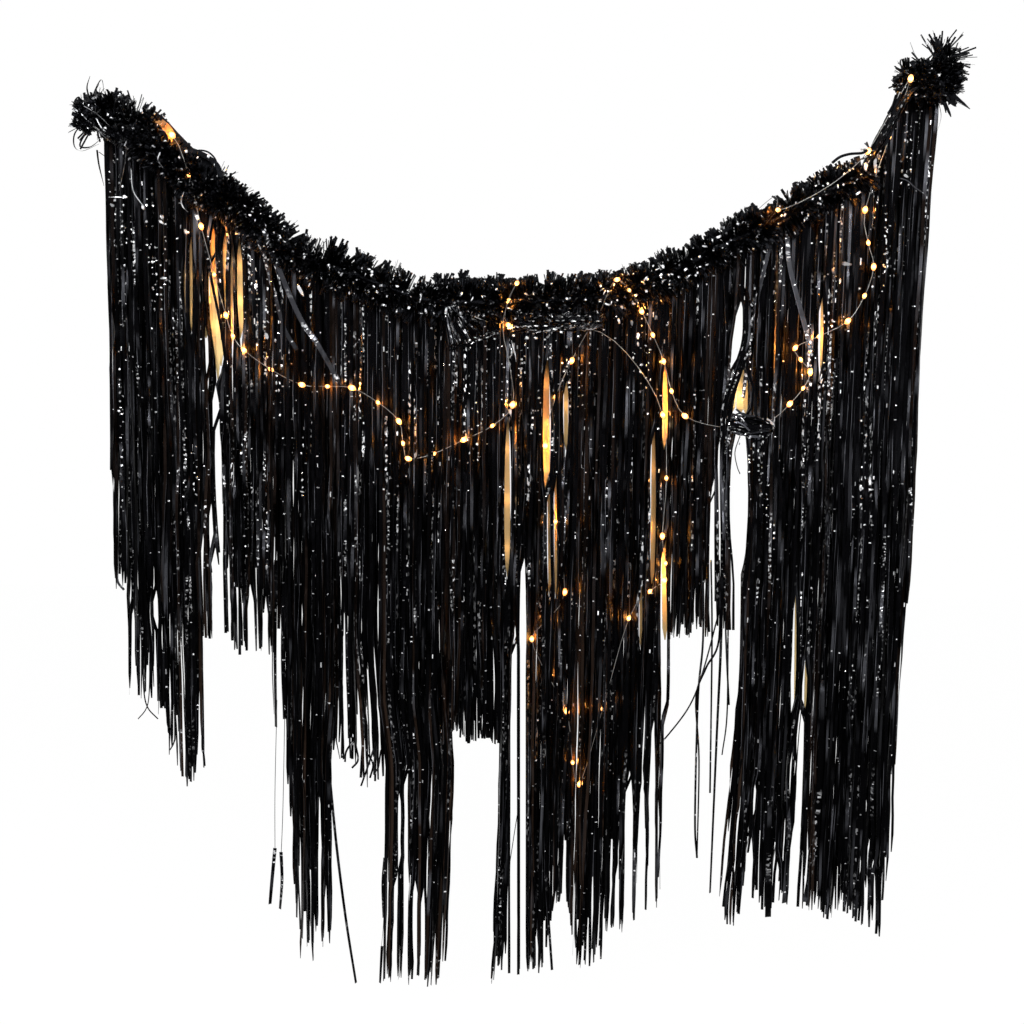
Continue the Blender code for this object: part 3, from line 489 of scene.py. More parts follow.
def strips_mesh(name, strips, finish):
    """One object of many thin closed film strips, smooth along them and sharp at their edges."""
    corners, faces, film_map = [], [], []
    looks = {"shade": [], "crimp": [], "brown": []}
    first = 0
    for strip in strips:
        count = len(strip.line)
        corners.append(strip_corners(strip))
        faces += strip_faces(first, count)
        film_map.append(strip_pattern(strip))
        for key, values in looks.items():
            values.append(np.repeat(np.broadcast_to(getattr(strip, key), (count,)), 4))
        first += 4 * count
    data = bpy.data.meshes.new(name)
    data.from_pydata(np.concatenate(corners).tolist(), [], np.concatenate(faces).tolist())
    data.polygons.foreach_set("use_smooth", np.ones(len(data.polygons), bool))
    loops = np.zeros(len(data.loops), int)
    data.loops.foreach_get("vertex_index", loops)
    film_map = np.concatenate(film_map)[loops]
    data.uv_layers.new(name="film").data.foreach_set("uv", film_map.ravel())
    for key, values in looks.items():
        layer = data.attributes.new(key, "FLOAT", "POINT").data
        layer.foreach_set("value", np.concatenate(values))
    ends = np.zeros(len(data.edges) * 2, int)
    data.edges.foreach_get("vertices", ends)
    ends = ends.reshape(-1, 2)
    along_edges = np.abs(ends[:, 0] - ends[:, 1]) == 4
    data.attributes.new("sharp_edge", "BOOLEAN", "EDGE").data.foreach_set("value", along_edges)
    data.update()
    return put(name, data, finish)


def piece_of(name, strips, finish, body, replaced=()):
    """A piece made of strips, which rides a body and may stand for nodes of the CAD."""
    made = strips_mesh(name, strips, finish)
    if replaced:
        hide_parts(*replaced)
    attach(made, body)


def smooth_line(points, steps):
    """Points along one smooth curve through the given points, steps to each stretch."""
    points = [np.array(point, float) for point in points]
    through = [2 * points[0] - points[1], *points, 2 * points[-1] - points[-2]]
    line = []
    for before, here, there, after in zip(through, through[1:], through[2:], through[3:]):
        bend = 2 * before - 5 * here + 4 * there - after
        ease = 3 * here - before - 3 * there + after
        for step in range(steps):
            t = step / steps
            line.append(0.5 * (2 * here + (there - before) * t + bend * t**2 + ease * t**3))
    line.append(points[-1])
    return np.array(line)


def even_line(line, count):
    """The same line with its points evenly spaced."""
    run = distance_along(line)
    wanted = np.linspace(0, run[-1], count)
    return np.stack([np.interp(wanted, run, line[:, axis]) for axis in range(3)], axis=1)


# Garland's core, from the left tuft to the neck, as in the CAD
core_points = (
    (0.0452, -0.0101), (0.0569, -0.0147), (0.0979, -0.0524), (0.1443, -0.0865),
    (0.1822, -0.1089), (0.2327, -0.1481), (0.2675, -0.1707), (0.3306, -0.1905),
    (0.4065, -0.2156), (0.4791, -0.2200), (0.5655, -0.2154), (0.6455, -0.2079),
    (0.7097, -0.1815), (0.7855, -0.1437), (0.8413, -0.1162), (0.8740, -0.0953),
    (0.9172, -0.0728), (0.9488, -0.0550),
)
neck_points = ((0.9488, -0.0550), (0.9688, -0.0099), (0.9909, 0.0308), (1.0101, 0.0464))
core_line = smooth_line([(x, 0, z) for x, z in core_points], 12)
neck_line = smooth_line([(x, 0, z) for x, z in neck_points], 8)
carrier = np.concatenate([core_line, neck_line[1:]])
# Light wire: its places along the route that the CAD gives it, and whether an LED sits there
wire_diameter = 0.0008
route = (
    ((0.5306, 0.0225, -0.2190), False),
    ((0.600, 0.021, -0.211), False),
    ((0.685, 0.020, -0.193), False),
    ((0.765, 0.020, -0.151), False),
    ((0.846, 0.024, -0.082), False),
    ((0.841, -0.030, -0.105), True),
    ((0.893, -0.031, -0.081), False),
    ((0.947, -0.028, -0.034), True),
    ((0.992, -0.034, 0.050), True),
    ((0.954, -0.002, -0.100), True),
    ((0.968, -0.002, -0.169), True),
    ((0.939, -0.002, -0.236), True),
    ((0.875, -0.002, -0.270), True),
    ((0.895, -0.002, -0.300), True),
    ((0.871, -0.002, -0.340), True),
    ((0.825, -0.002, -0.370), False),
    ((0.740, -0.002, -0.357), True),
    ((0.711, -0.003, -0.289), True),
    ((0.681, -0.010, -0.228), True),
    ((0.648, -0.030, -0.191), True),
    ((0.628, -0.004, -0.234), False),
    ((0.596, -0.002, -0.290), True),
    ((0.565, -0.002, -0.397), True),
    ((0.593, -0.002, -0.584), True),
    ((0.552, -0.002, -0.646), True),
    ((0.599, -0.002, -0.741), True),
    ((0.618, -0.002, -0.838), True),
    ((0.676, -0.002, -0.617), True),
    ((0.720, -0.002, -0.567), True),
    ((0.716, -0.002, -0.510), True),
    ((0.712, -0.002, -0.356), True),
    ((0.631, -0.002, -0.254), False),
    ((0.516, -0.004, -0.247), True),
    ((0.526, -0.030, -0.197), True),
    ((0.509, -0.012, -0.250), False),
    ((0.523, -0.003, -0.346), True),
    ((0.462, -0.002, -0.391), True),
    ((0.392, -0.002, -0.416), True),
    ((0.380, -0.002, -0.369), True),
    ((0.321, -0.002, -0.328), True),
    ((0.258, -0.002, -0.325), True),
    ((0.186, -0.002, -0.283), True),
    ((0.164, -0.003, -0.240), True),
    ((0.140, -0.024, -0.134), True),
    ((0.109, -0.033, -0.028), True),
    ((0.038, -0.038, -0.028), False),
    ((-0.001, -0.030, -0.011), False),
)
led_places = np.array([place for place, lit in route if lit])


# Strands hang from the middle of their headers, this far below the garland's core
header_drop = 0.006


def hang_height(x):
    """Height from which a strand hangs at this place along the curtain."""
    return np.interp(x, carrier[:, 0], carrier[:, 2]) - header_drop


# Fringe. Each panel: side and number of its body, left and right edge, pitch of its strands,
# the share of them that end early, and its hem, as the (u, v) places that it reaches down to
Panel = namedtuple("Panel", "side number left right pitch early hem")
close = 0.00120  # pitch of the strands of the back layer, which overlap
panels = [
    Panel("back", 1, 0.0179, 0.1285, close, 0.10, (
        (106, 580), (116, 584), (126, 591), (129, 689), (140, 699), (154, 702), (161, 720),
        (171, 749), (181, 775), (191, 791), (204, 765))),
    Panel("back", 2, 0.1327, 0.2159, close, 0.08, (
        (205, 640), (222, 637), (240, 655), (262, 650), (274, 658))),
    Panel("back", 3, 0.2190, 0.2991, close, 0.28, (
        (264, 655), (285, 662), (287, 800), (289, 874), (296, 912), (303, 938), (312, 969),
        (319, 957), (328, 946), (334, 946), (336, 976), (339, 984))),
    Panel("back", 4, 0.3022, 0.3538, close, 0.10, (
        (337, 760), (352, 769), (362, 787), (373, 784), (385, 771))),
    Panel("back", 5, 0.3570, 0.4440, close, 0.10, (
        (380, 982), (393, 980), (401, 986), (415, 980), (430, 986), (437, 989), (443, 970))),
    Panel("back", 6, 0.4458, 0.5054, close, 0.02, (
        (450, 733), (458, 733), (459, 743), (474, 744), (476, 739), (487, 742), (489, 747),
        (500, 748))),
    Panel("back", 7, 0.5086, 0.6118, close, 0.04, (
        (493, 986), (498, 975), (504, 967), (516, 974), (527, 972), (541, 971), (548, 930),
        (552, 906), (568, 906), (573, 968), (588, 967))),
    Panel("back", 8, 0.6150, 0.7245, close, 0.06, (
        (590, 967), (602, 947), (611, 931), (620, 933), (633, 918), (645, 860), (650, 913),
        (664, 890))),
    Panel("back", 9, 0.7276, 0.7687, close, 0.01, (
        (668, 639), (675, 638), (690, 637), (693, 631), (709, 629))),
    Panel("back", 10, 0.7718, 0.8087, close, 0.12, (
        (700, 636), (709, 640), (713, 606), (717, 630), (722, 596), (726, 640), (731, 636),
        (733, 480), (736, 440))),
    Panel("back", 11, 0.8129, 0.9140, close, 0.04, (
        (725, 905), (727, 932), (735, 921), (741, 912), (749, 860), (754, 900), (771, 918),
        (776, 880), (782, 905), (789, 902), (792, 800), (800, 870))),
    Panel("back", 12, 0.9172, 1.0393, close, 0.03, (
        (798, 914), (815, 906), (829, 918), (842, 908), (855, 920), (861, 926), (868, 905),
        (872, 928), (876, 940), (882, 894), (891, 848), (903, 700), (909, 607))),
    Panel("front", 1, 0.0221, 0.0895, 0.009, 0.2, ((106, 560), (150, 640), (170, 600))),
    Panel("front", 2, 0.2232, 0.2843, 0.016, 0.3, ((268, 700), (285, 730), (330, 690))),
    Panel("front", 3, 0.4022, 0.4412, 0.016, 0.3, ((410, 720), (430, 780), (449, 731))),
    Panel("front", 4, 0.4496, 0.4865, 0.016, 0.3, ((450, 700), (485, 690))),
    Panel("front", 5, 0.5276, 0.6150, 0.012, 0.3, ((510, 880), (545, 850), (590, 900))),
    Panel("front", 6, 0.7992, 0.8498, 0.012, 0.3, ((728, 640), (770, 680))),
]
panel_depth = 0.0032
layer_offset = 0.007
film_thickness = 0.00012
edge_spill = 0.0030
crimped_share = 0.20
woven_share = 0.30
# Strands painted brown for the light behind them: their share, and within brown_edge of a side
brown_share = 0.07
brown_edge_share = 0.5
brown_edge = 0.009
# Every third strand of the back layer hangs straighter than the others, so that no hole opens
calm_strand = 0.3
# A panel with this share of early strands has a fully ragged hem
ragged_early = 0.10
# Behind this stretch of the back layer lies the battery case
case_stretch = (0.44, 0.57)
# The middle panels are blacker: the power that makes pale strands rarer, by panel number
paleness = (0, 2.4, 2.4, 4, 4, 5, 4.5, 4, 4, 3.5, 2.6, 2.6, 2.0)

# Slits where strands part, as the picture shows them: u and v at the top, u and v at the
# bottom, half width in pixels, and whether it stays open down to the hem
slits = (
    (214, 385, 215, 450, 2.6, False), (215, 420, 221, 562, 3.6, False),
    (219, 500, 223, 634, 1.6, True), (200, 545, 204, 630, 1.1, True),
    (209, 505, 210, 562, 1.5, False), (213, 552, 216, 634, 2.0, True),
    (228, 545, 230, 634, 1.2, True), (745, 300, 733, 376, 6.0, False),
    (740, 366, 739, 420, 10.0, False), (740, 426, 739, 575, 9.0, False),
    (739, 490, 737, 700, 3.0, False), (547, 364, 547, 495, 3.0, False),
    (566, 376, 566, 446, 1.8, False), (508, 423, 507, 575, 2.6, False),
    (549, 486, 551, 600, 2.2, False), (555, 480, 556, 598, 1.2, False),
    (666, 366, 666, 452, 2.4, False), (654, 430, 653, 590, 2.6, False),
    (664, 545, 665, 712, 2.2, False), (641, 590, 641, 648, 1.5, False),
    (797, 598, 795, 714, 1.9, False), (806.5, 660, 805, 716, 2.2, False),
    (793, 744, 791, 812, 2.6, False), (803.5, 712, 796, 870, 3.6, False),
    (794, 830, 791, 940, 3.6, True),
    (756, 776, 754, 822, 1.8, False), (751, 838, 748, 940, 2.2, True),
    (739, 806, 736, 862, 1.0, False), (778, 858, 774, 940, 2.0, True),
    (869, 816, 868, 842, 1.0, False), (865, 874, 864, 940, 1.2, True),
    (515, 640, 515, 1000, 3.2, True), (523, 560, 523, 1000, 2.6, True),
    (556, 905, 556, 1000, 2.4, True),
    (565, 905, 565, 1000, 3.6, True), (618, 870, 616, 1000, 1.4, True),
    (630, 780, 628, 1000, 2.8, True), (643, 790, 640, 1000, 2.6, True),
    (653, 730, 652, 1000, 2.4, True), (405, 770, 405, 1000, 1.8, True),
    (399, 790, 399, 870, 1.4, False), (395, 880, 395, 1000, 1.2, True),
    (415, 885, 415, 965, 1.8, False), (422, 890, 422, 1000, 1.4, True),
    (319, 790, 319, 950, 1.2, False), (133, 605, 133, 700, 1.6, True),
    (154, 590, 155, 632, 1.8, False), (148, 640, 148, 720, 1.2, True),
    (250, 595, 251, 660, 2.0, True), (265, 612, 266, 660, 1.6, True),
    (875, 862, 874, 950, 1.2, True),
    (184.5, 258, 185, 312, 1.7, False), (189.5, 234, 190, 336, 1.0, False),
    (204.5, 252, 207, 332, 1.6, False), (209, 262, 220, 380, 4.8, False),
    (210.5, 224, 214, 268, 3.0, False), (222.5, 228, 226, 318, 2.6, False),
    (230.4, 250, 230.8, 350, 1.1, False), (238, 242, 239.5, 334, 2.6, False),
    (204, 318, 206, 380, 1.3, False), (713, 490, 713, 640, 1.8, True),
    (721, 440, 721, 640, 1.4, True), (823, 300, 822, 372, 1.6, False),
    (336, 752, 336, 1000, 2.2, True),
)
picture_scale = seen(513, 512)[0] - seen(512, 512)[0]  # metres to a pixel at the garland

# Where the strands of a panel lean or draw together lower down: the group of them that would
# hang between two u at the first v, then at each v how far its left and right edges move
leans = {
    "back_panel_3": ((286, 341, ((700, 0, 0), (760, 1, -5.5), (985, 2, -5))),),
    "back_panel_4": ((334, 382, ((640, 0, 0), (720, 0, 8), (800, 0, 8))),),
    "back_panel_5": ((370, 455, ((700, 0, 0), (762, 10, 4.5), (820, 10, 2.5), (900, 9, -0.5),
                                 (985, 7, -3))),),
    "back_panel_6": ((444, 508, ((600, 0, 0), (690, 0, 6), (750, 0, 6.5))),),
    "back_panel_7": ((480, 514, ((640, 0, 0), (742, 9, -1.5), (815, 8.5, -1.5), (870, 7.5, -3.5),
                                 (915, 5, -5), (987, 0, -7))),),
    "back_panel_11": ((734, 775, ((360, 0, 0), (436, 8, 1), (480, 8, 1), (560, 9, 1),
                                  (640, 8, 1), (738, 8.5, 1), (800, 6, 0), (866, 0, 0),
                                  (905, -4, 0))),),
    "back_panel_12": ((880, 945, ((120, 0, -1.5), (200, 0, -4.5), (272, 0, -5.5), (378, 0, -7),
                                  (560, 0, -5), (700, 0, -4.5), (760, 0, -4), (820, 0, 0))),),
}


def body_of(panel):
    """Name of the body that this panel is."""
    return f"{panel.side}_panel_{panel.number}"


def lean(line, body):
    """Move a strand's line aside where the picture shows its group leaning."""
    u, v = in_picture(line)
    for low, high, marks in leans.get(body, ()):
        stops = np.array(marks, float)
        hang = np.interp(stops[0, 0], v, u)
        if low <= hang <= high:
            share = (hang - low) / (high - low)
            moves = stops[:, 1] * (1 - share) + stops[:, 2] * share
            line[:, 0] += picture_scale * np.interp(v, stops[:, 0], moves)


# A strand that is woven comes to this depth, in front of the light wire. It does so below this
# height and away from LEDs, and eases there over these lengths
woven_depth = -0.0056
woven_below = -0.43
woven_fade = 0.035
led_aside = 0.010
led_clearance = 0.012
led_ease = 0.020


def weave(line):
    """Bring a strand to the front of the light wire, but not where it would hide an LED."""
    near = led_places[np.abs(led_places[:, 0] - line[:, 0].mean()) < led_aside]
    away = np.full(len(line), 1.0)
    if len(near):
        away = np.abs(line[:, 2][:, None] - near[:, 2][None, :]).min(axis=1)
    weight = np.clip((away - led_clearance) / led_ease, 0, 1)
    weight *= weight * (3 - 2 * weight)
    weight *= np.clip((woven_below - line[:, 2]) / woven_fade, 0, 1)
    line[:, 1] += (woven_depth - line[:, 1]) * weight


def slit_shapes():
    """The slits in metres, as (top x, top z, bottom x, bottom z, half width, open)."""
    shapes = []
    for top_u, top_v, low_u, low_v, half, is_open in slits:
        top, low = seen(top_u, top_v), seen(low_u, low_v)
        shapes.append((top[0], top[2], low[0], low[2], half * picture_scale, is_open))
    return shapes


slit_edge_play = 0.0020


def part_at_slits(line, shapes, draw):
    """Push a strand's line out of the slits, to the side that it is on."""
    for top_x, top_z, low_x, low_z, half, is_open in shapes:
        share = (top_z - line[:, 2]) / (top_z - low_z)
        inside = (share > 0) if is_open else (share > 0) & (share < 1)
        if not inside.any():
            continue
        share = np.clip(share, 0, 1)
        swell = np.minimum(share * 2, 0.5) if is_open else share
        open_by = half * np.sqrt(np.sin(np.pi * swell))
        off = line[:, 0] - (top_x + (low_x - top_x) * share)
        if abs(off[inside]).min() > half + strand_width / 2:
            continue
        side = 1.0 if off[inside].mean() >= 0 else -1.0
        reach = open_by + strand_width / 2 + draw.uniform(0, slit_edge_play)
        shift = np.where(inside & (side * off < reach), reach - side * off, 0.0)
        line[:, 0] += side * shift


def foot_above_slit(x, foot, shapes, draw):
    """A strand in the middle of a slit that stays open ends where the slit begins."""
    for top_x, top_z, _, _, half, is_open in shapes:
        if is_open and abs(x - top_x) < 0.7 * half and foot < top_z:
            foot = top_z - draw.uniform(0, 0.02)
    return foot


def wave(draw, share, fewest, most):
    """A wave along a line from a random start, with a random number of periods."""
    return np.sin(2 * np.pi * (share * draw.uniform(fewest, most) + draw.uniform(0, 1)))


# How a strand hangs: spacing of its points and size of its sway, drift, wander and ripple
strand_step = 0.024
sway_size = 0.0013
drift_size = 0.0026
wander_size = 0.0010
ripple_size = 0.0004


def strand(draw, x, y, top, foot, calm=1.0):
    """A hanging strand: its line sways and drifts, and it twists, now and then right over.

    A lower calm makes it hang straighter.
    """
    length = top - foot
    count = int(np.clip(length / strand_step, 8, 44))
    share = np.linspace(0, 1, count)
    share = share + np.sin(share * np.pi) * draw.uniform(-0.1, 0.1)
    sway = sway_size * wave(draw, share, 0.6, 2.6)
    drift = np.clip(draw.normal(0, drift_size), -0.005, 0.005) * share**1.3
    flare = draw.normal(0, drift_size) * np.clip(share - 0.7, 0, 1) / 0.3
    depth = draw.normal(0, wander_size) * np.sin(np.pi * share * draw.uniform(0.7, 1.6))
    waves = share * length / draw.uniform(0.07, 0.16) + draw.uniform(0, 1)
    ripple = ripple_size * np.sin(2 * np.pi * waves)
    aside = calm * (sway * share**0.5 + drift + flare) + ripple
    line = np.stack([x + aside, y + depth, top - length * share], 1)
    turn = draw.normal(0, 0.35) + draw.normal(0, 0.6) * share
    turn += draw.uniform(0.15, 0.5) * wave(draw, share, 1, 4)
    turn *= calm
    for _ in range(draw.integers(0, 4) if calm == 1 else 0):
        turn += np.pi / (1 + np.exp(-(share - draw.uniform(0.1, 0.95)) * 90)) * draw.choice([-1, 1])
    across = np.stack([np.cos(turn), np.sin(turn), np.zeros(count)], 1)
    return line, across


def strand_foot(draw, panel, hem, top, calm):
    """Height where a strand ends: near the hem, or above it where strands end early."""
    ragged = min(1.0, panel.early / ragged_early)
    luck = draw.random()
    if calm < 1:
        return hem + draw.uniform(0.0, 0.32) * ragged * (top - hem)
    if luck < panel.early:
        return hem + draw.uniform(0.02, 0.30) * (top - hem)
    if luck < panel.early + 0.35:
        return hem + draw.uniform(0.008, 0.05) * max(ragged, 0.2)
    return hem + draw.uniform(0, 0.010) * max(ragged, 0.4)


def strand_looks(draw, panel, line, to_edge):
    """Paleness of a strand, and how crimped and how brown it is along its line."""
    crimp = draw.uniform(0.5, 1.0) if draw.random() < crimped_share else 0.0
    crimp = crimp * np.interp(line[:, 2], (-0.75, -0.42), (0.35, 1.0))
    share = brown_edge_share if to_edge < brown_edge else brown_share
    brown = draw.uniform(0.4, 1.0) * (draw.random() < share)
    brown = brown * np.interp(line[:, 2], (-0.80, -0.55), (1.0, 0.25))
    return draw.random() ** paleness[panel.number], crimp, brown


def panel_strips(panel, shapes):
    """The strands of a panel, side by side in three depths."""
    draw = np.random.default_rng(1000 * (panel.side == "front") + panel.number)
    hem_line = np.array([seen(u, v) for u, v in panel.hem])
    left, right = panel.left - edge_spill, panel.right + edge_spill
    count = max(3, round((right - left - strand_width) / panel.pitch) + 1)
    y_middle = -layer_offset if panel.side == "front" else layer_offset
    strips = []
    for index in range(count):
        x = left + strand_width / 2 + (right - left - strand_width) * index / (count - 1)
        calm = calm_strand if index % 3 == 2 and panel.pitch == close else 1.0
        x += draw.uniform(-0.4, 0.4) * panel.pitch * calm
        x = min(max(x, left + strand_width / 2), right - strand_width / 2)
        y = y_middle + panel_depth * (index % 3 - 1) + draw.uniform(-0.6, 0.6) * mm
        if panel.side == "back" and case_stretch[0] < x < case_stretch[1]:
            y = min(y, y_middle + 0.3 * (y - y_middle))
        top = hang_height(x)
        hem = np.interp(x, hem_line[:, 0], hem_line[:, 2])
        foot = foot_above_slit(x, strand_foot(draw, panel, hem, top, calm), shapes, draw)
        line, across = strand(draw, x, y, top, foot, calm)
        lean(line, body_of(panel))
        # A second time, for a strand that one slit has pushed into the next
        part_at_slits(line, shapes, draw)
        part_at_slits(line, shapes, draw)
        if panel.side == "back" and calm == 1 and draw.random() < woven_share:
            weave(line)
        width = np.full(len(line), strand_width * (draw.uniform(0.8, 1.0) if calm == 1 else 1.0))
        width[-1] *= draw.uniform(0.15, 1.0)
        shade, crimp, brown = strand_looks(draw, panel, line, min(x - left, right - x))
        strips.append(make_strip(draw, line, across, width, film_thickness, shade, crimp, brown))
    return strips


def marked_strand(draw, marks, y, width, shade):
    """A strand through these places of the picture, lying nearly flat to the viewer."""
    line = smooth_line([seen(u, v, y) for u, v in marks], 7)
    turn = draw.normal(0, 0.25) + np.linspace(0, draw.normal(0, 0.6), len(line))
    flat = units(np.cross(np.gradient(line, axis=0), to_wall))
    across = flat * np.cos(turn)[:, None] + to_wall * np.sin(turn)[:, None]
    return make_strip(draw, line, across, width, film_thickness, shade, min(shade, 1.0))


# Strands that leave the even fringe: panel, depth and width in mm, how pale (above one: all
# along), and the places of the picture that each runs through
loose_strands = (
    # Crossing strands on the left, painted pale as sheen along their creases
    ("front_panel_2", -11, 6.0, 1.3, ((262, 226), (276, 262), (300, 318), (318, 345),
        (340, 384))),
    ("front_panel_2", -9, 5.0, 1.25, ((258, 232), (276, 300), (285, 330), (297, 350))),
    ("front_panel_2", -10, 3.2, 0.8, ((268, 246), (280, 282), (284, 332), (281, 372))),
    # The fan below the lit end of the garland, right of the middle
    ("back_panel_11", 1.0, 4.6, 1.35, ((775, 226), (766, 262), (757, 300), (749, 350),
        (743, 398))),
    ("back_panel_11", 1.6, 4.6, 1.35, ((775, 226), (766, 262), (757, 300), (755, 350),
        (749, 398))),
    # Black strands that cross the gold slits on the left and the channel on the right
    ("back_panel_2", 1.5, 3.6, 0.1, ((201, 228), (205, 246), (213, 288), (221, 328), (227, 372))),
    ("back_panel_2", 2.0, 3.0, 0.1, ((216, 232), (216.5, 262), (219.5, 300), (222, 340))),
    ("back_panel_11", 3.0, 3.6, 0.1, ((752, 326), (744, 350), (735, 368), (728, 392), (725, 425))),
    ("back_panel_11", 3.6, 3.0, 0.1, ((751, 344), (743, 366), (734, 396), (729, 430))),
    ("back_panel_11", 4.0, 1.2, 0.1, ((740, 436), (735, 452), (737, 466), (740, 474))),
    # Wide strands at the hem of the right panels
    ("back_panel_11", 2.0, 8.4, 0.55, ((770, 800), (769, 856), (768, 917))),
    ("back_panel_11", 1.6, 7.6, 0.6, ((787, 790), (788, 850), (784, 903))),
    ("back_panel_12", 1.6, 7.0, 0.7, ((822, 680), (820, 780), (812, 860), (805, 902))),
    ("back_panel_12", 1.8, 4.0, 1.3, ((887, 600), (880, 660), (872, 712), (868, 730))),
    ("back_panel_3", 1.8, 7.6, 0.1, ((303, 820), (303, 870), (302, 938))),
    # Short curled ends at the hem of the fourth panel
    ("back_panel_4", 1.0, 2.6, 0.3, ((352, 742), (346, 752), (345, 762))),
    ("back_panel_4", 1.0, 2.6, 0.3, ((366, 752), (373, 764), (370, 778))),
    ("back_panel_4", 1.0, 2.6, 0.3, ((374, 748), (368, 766), (361, 786))),
    ("back_panel_4", 1.0, 2.6, 0.3, ((381, 750), (378, 768), (374, 772))),
    ("back_panel_4", 1.0, 2.6, 0.3, ((356, 746), (358, 760), (352, 768))),
    # Dark film and a wire end above the garland's right end, beside the neck
    ("back_panel_12", -3.0, 1.0, 1.5, ((900, 178), (908, 181), (916, 188), (926, 195))),
    ("back_panel_11", 1.2, 5.6, 1.3, ((776, 228), (777, 280), (776, 330), (775, 390))),
    ("back_panel_11", 1.5, 5.8, 1.4, ((787, 230), (789, 262), (796, 292), (806, 330),
        (811, 352))),
    # Strands pulled over to the gathered knot
    ("front_panel_6", -9.0, 3.6, 0.7, ((744, 300), (743, 340), (732.5, 375), (723, 410),
        (721, 470), (722, 540))),
    ("front_panel_6", -9.8, 3.6, 0.7, ((746, 300), (745, 340), (735, 375), (726, 410),
        (724, 470), (725, 540))),
    ("front_panel_6", -11.4, 3.6, 0.7, ((750, 300), (749, 340), (738, 375), (728, 410),
        (726, 470), (727, 540))),
    ("front_panel_6", -12.2, 3.6, 0.7, ((752, 300), (751, 340), (740, 375), (730, 410),
        (728, 470), (729, 540))),
    ("front_panel_6", -10.2, 3.6, 0.7, ((747, 300), (746, 340), (735, 375), (725, 410),
        (723, 470), (724, 540))),
    # Loose ends at the hem
    ("back_panel_3", 2.0, 3.6, 0.2, ((330, 780), (337, 850), (346, 920), (356, 983))),
    ("back_panel_3", 3.0, 5.4, 0.2, ((276, 560), (275, 650), (276, 727))),
    ("back_panel_3", 3.5, 5.6, 0.2, ((285, 560), (283, 650), (285, 719))),
    ("back_panel_3", 3.0, 0.8, 0.1, ((277, 700), (275, 790), (275, 852))),
    ("back_panel_3", 3.5, 0.9, 0.1, ((285, 700), (283, 805), (281, 858))),
    ("back_panel_3", 3.0, 4.6, 0.6, ((275, 848), (272, 880), (270, 904))),
    ("back_panel_3", 3.5, 4.6, 0.6, ((281, 852), (282, 880), (280, 909))),
    ("back_panel_5", 2.0, 5.0, 0.5, ((385, 858), (383, 885), (384, 918))),
    ("back_panel_5", 2.0, 0.9, 0.3, ((384, 910), (383, 930), (381, 950))),
    ("back_panel_5", 2.0, 3.6, 0.3, ((382, 946), (381, 965), (380, 983))),
    ("back_panel_5", 3.0, 4.2, 0.2, ((451, 660), (450, 740), (448, 815), (444, 905))),
    ("back_panel_7", 3.0, 1.1, 0.1, ((519, 804), (513, 842), (509, 872), (509, 903))),
    ("back_panel_7", 2.0, 3.4, 0.2, ((542, 800), (546, 880), (552, 970))),
    ("back_panel_1", 2.0, 2.0, 0.2, ((143, 660), (144, 692), (148, 708), (158, 719))),
    ("back_panel_1", 2.4, 2.0, 0.2, ((150, 660), (149, 695), (146, 709), (138, 719))),
    ("back_panel_1", 2.0, 2.4, 0.2, ((166, 660), (167, 712), (168, 726), (172, 730))),
    ("back_panel_1", 2.6, 2.6, 0.2, ((174, 660), (175, 730), (174, 742), (170, 750))),
    ("back_panel_1", 2.0, 2.0, 0.2, ((203, 700), (202, 745), (204, 755), (205, 766))),
    ("back_panel_1", 2.0, 3.2, 0.8, ((117, 540), (117, 578), (124, 590))),
    ("back_panel_10", 2.5, 2.6, 0.1, ((719, 560), (719, 639), (706, 668), (696, 698),
        (699, 760), (697, 858))),
    ("back_panel_10", 3.0, 2.0, 0.1, ((722, 600), (704, 668), (690, 705), (668, 735),
        (655, 748))),
    ("back_panel_10", 3.5, 2.8, 0.2, ((703, 560), (703, 640), (698, 698), (695, 818),
        (697, 858))),
    ("back_panel_10", 4.0, 2.4, 0.2, ((711, 560), (712, 640), (710, 793))),
    ("back_panel_10", 4.5, 3.8, 0.2, ((722, 540), (721, 640), (717, 730), (710, 893))),
    ("back_panel_10", 5.0, 2.6, 0.2, ((724, 560), (726, 640), (729, 705))),
    ("back_panel_10", 5.5, 2.2, 0.2, ((729, 560), (728, 640), (727, 715), (722, 755))),
)


def special_strands():
    """The loose strands, as lists of strips by panel."""
    draw = np.random.default_rng(77)
    groups = {}
    for body, deep, wide, shade, marks in loose_strands:
        strip = marked_strand(draw, marks, deep * mm, wide * mm, shade)
        groups.setdefault(body, []).append(strip)
    return groups


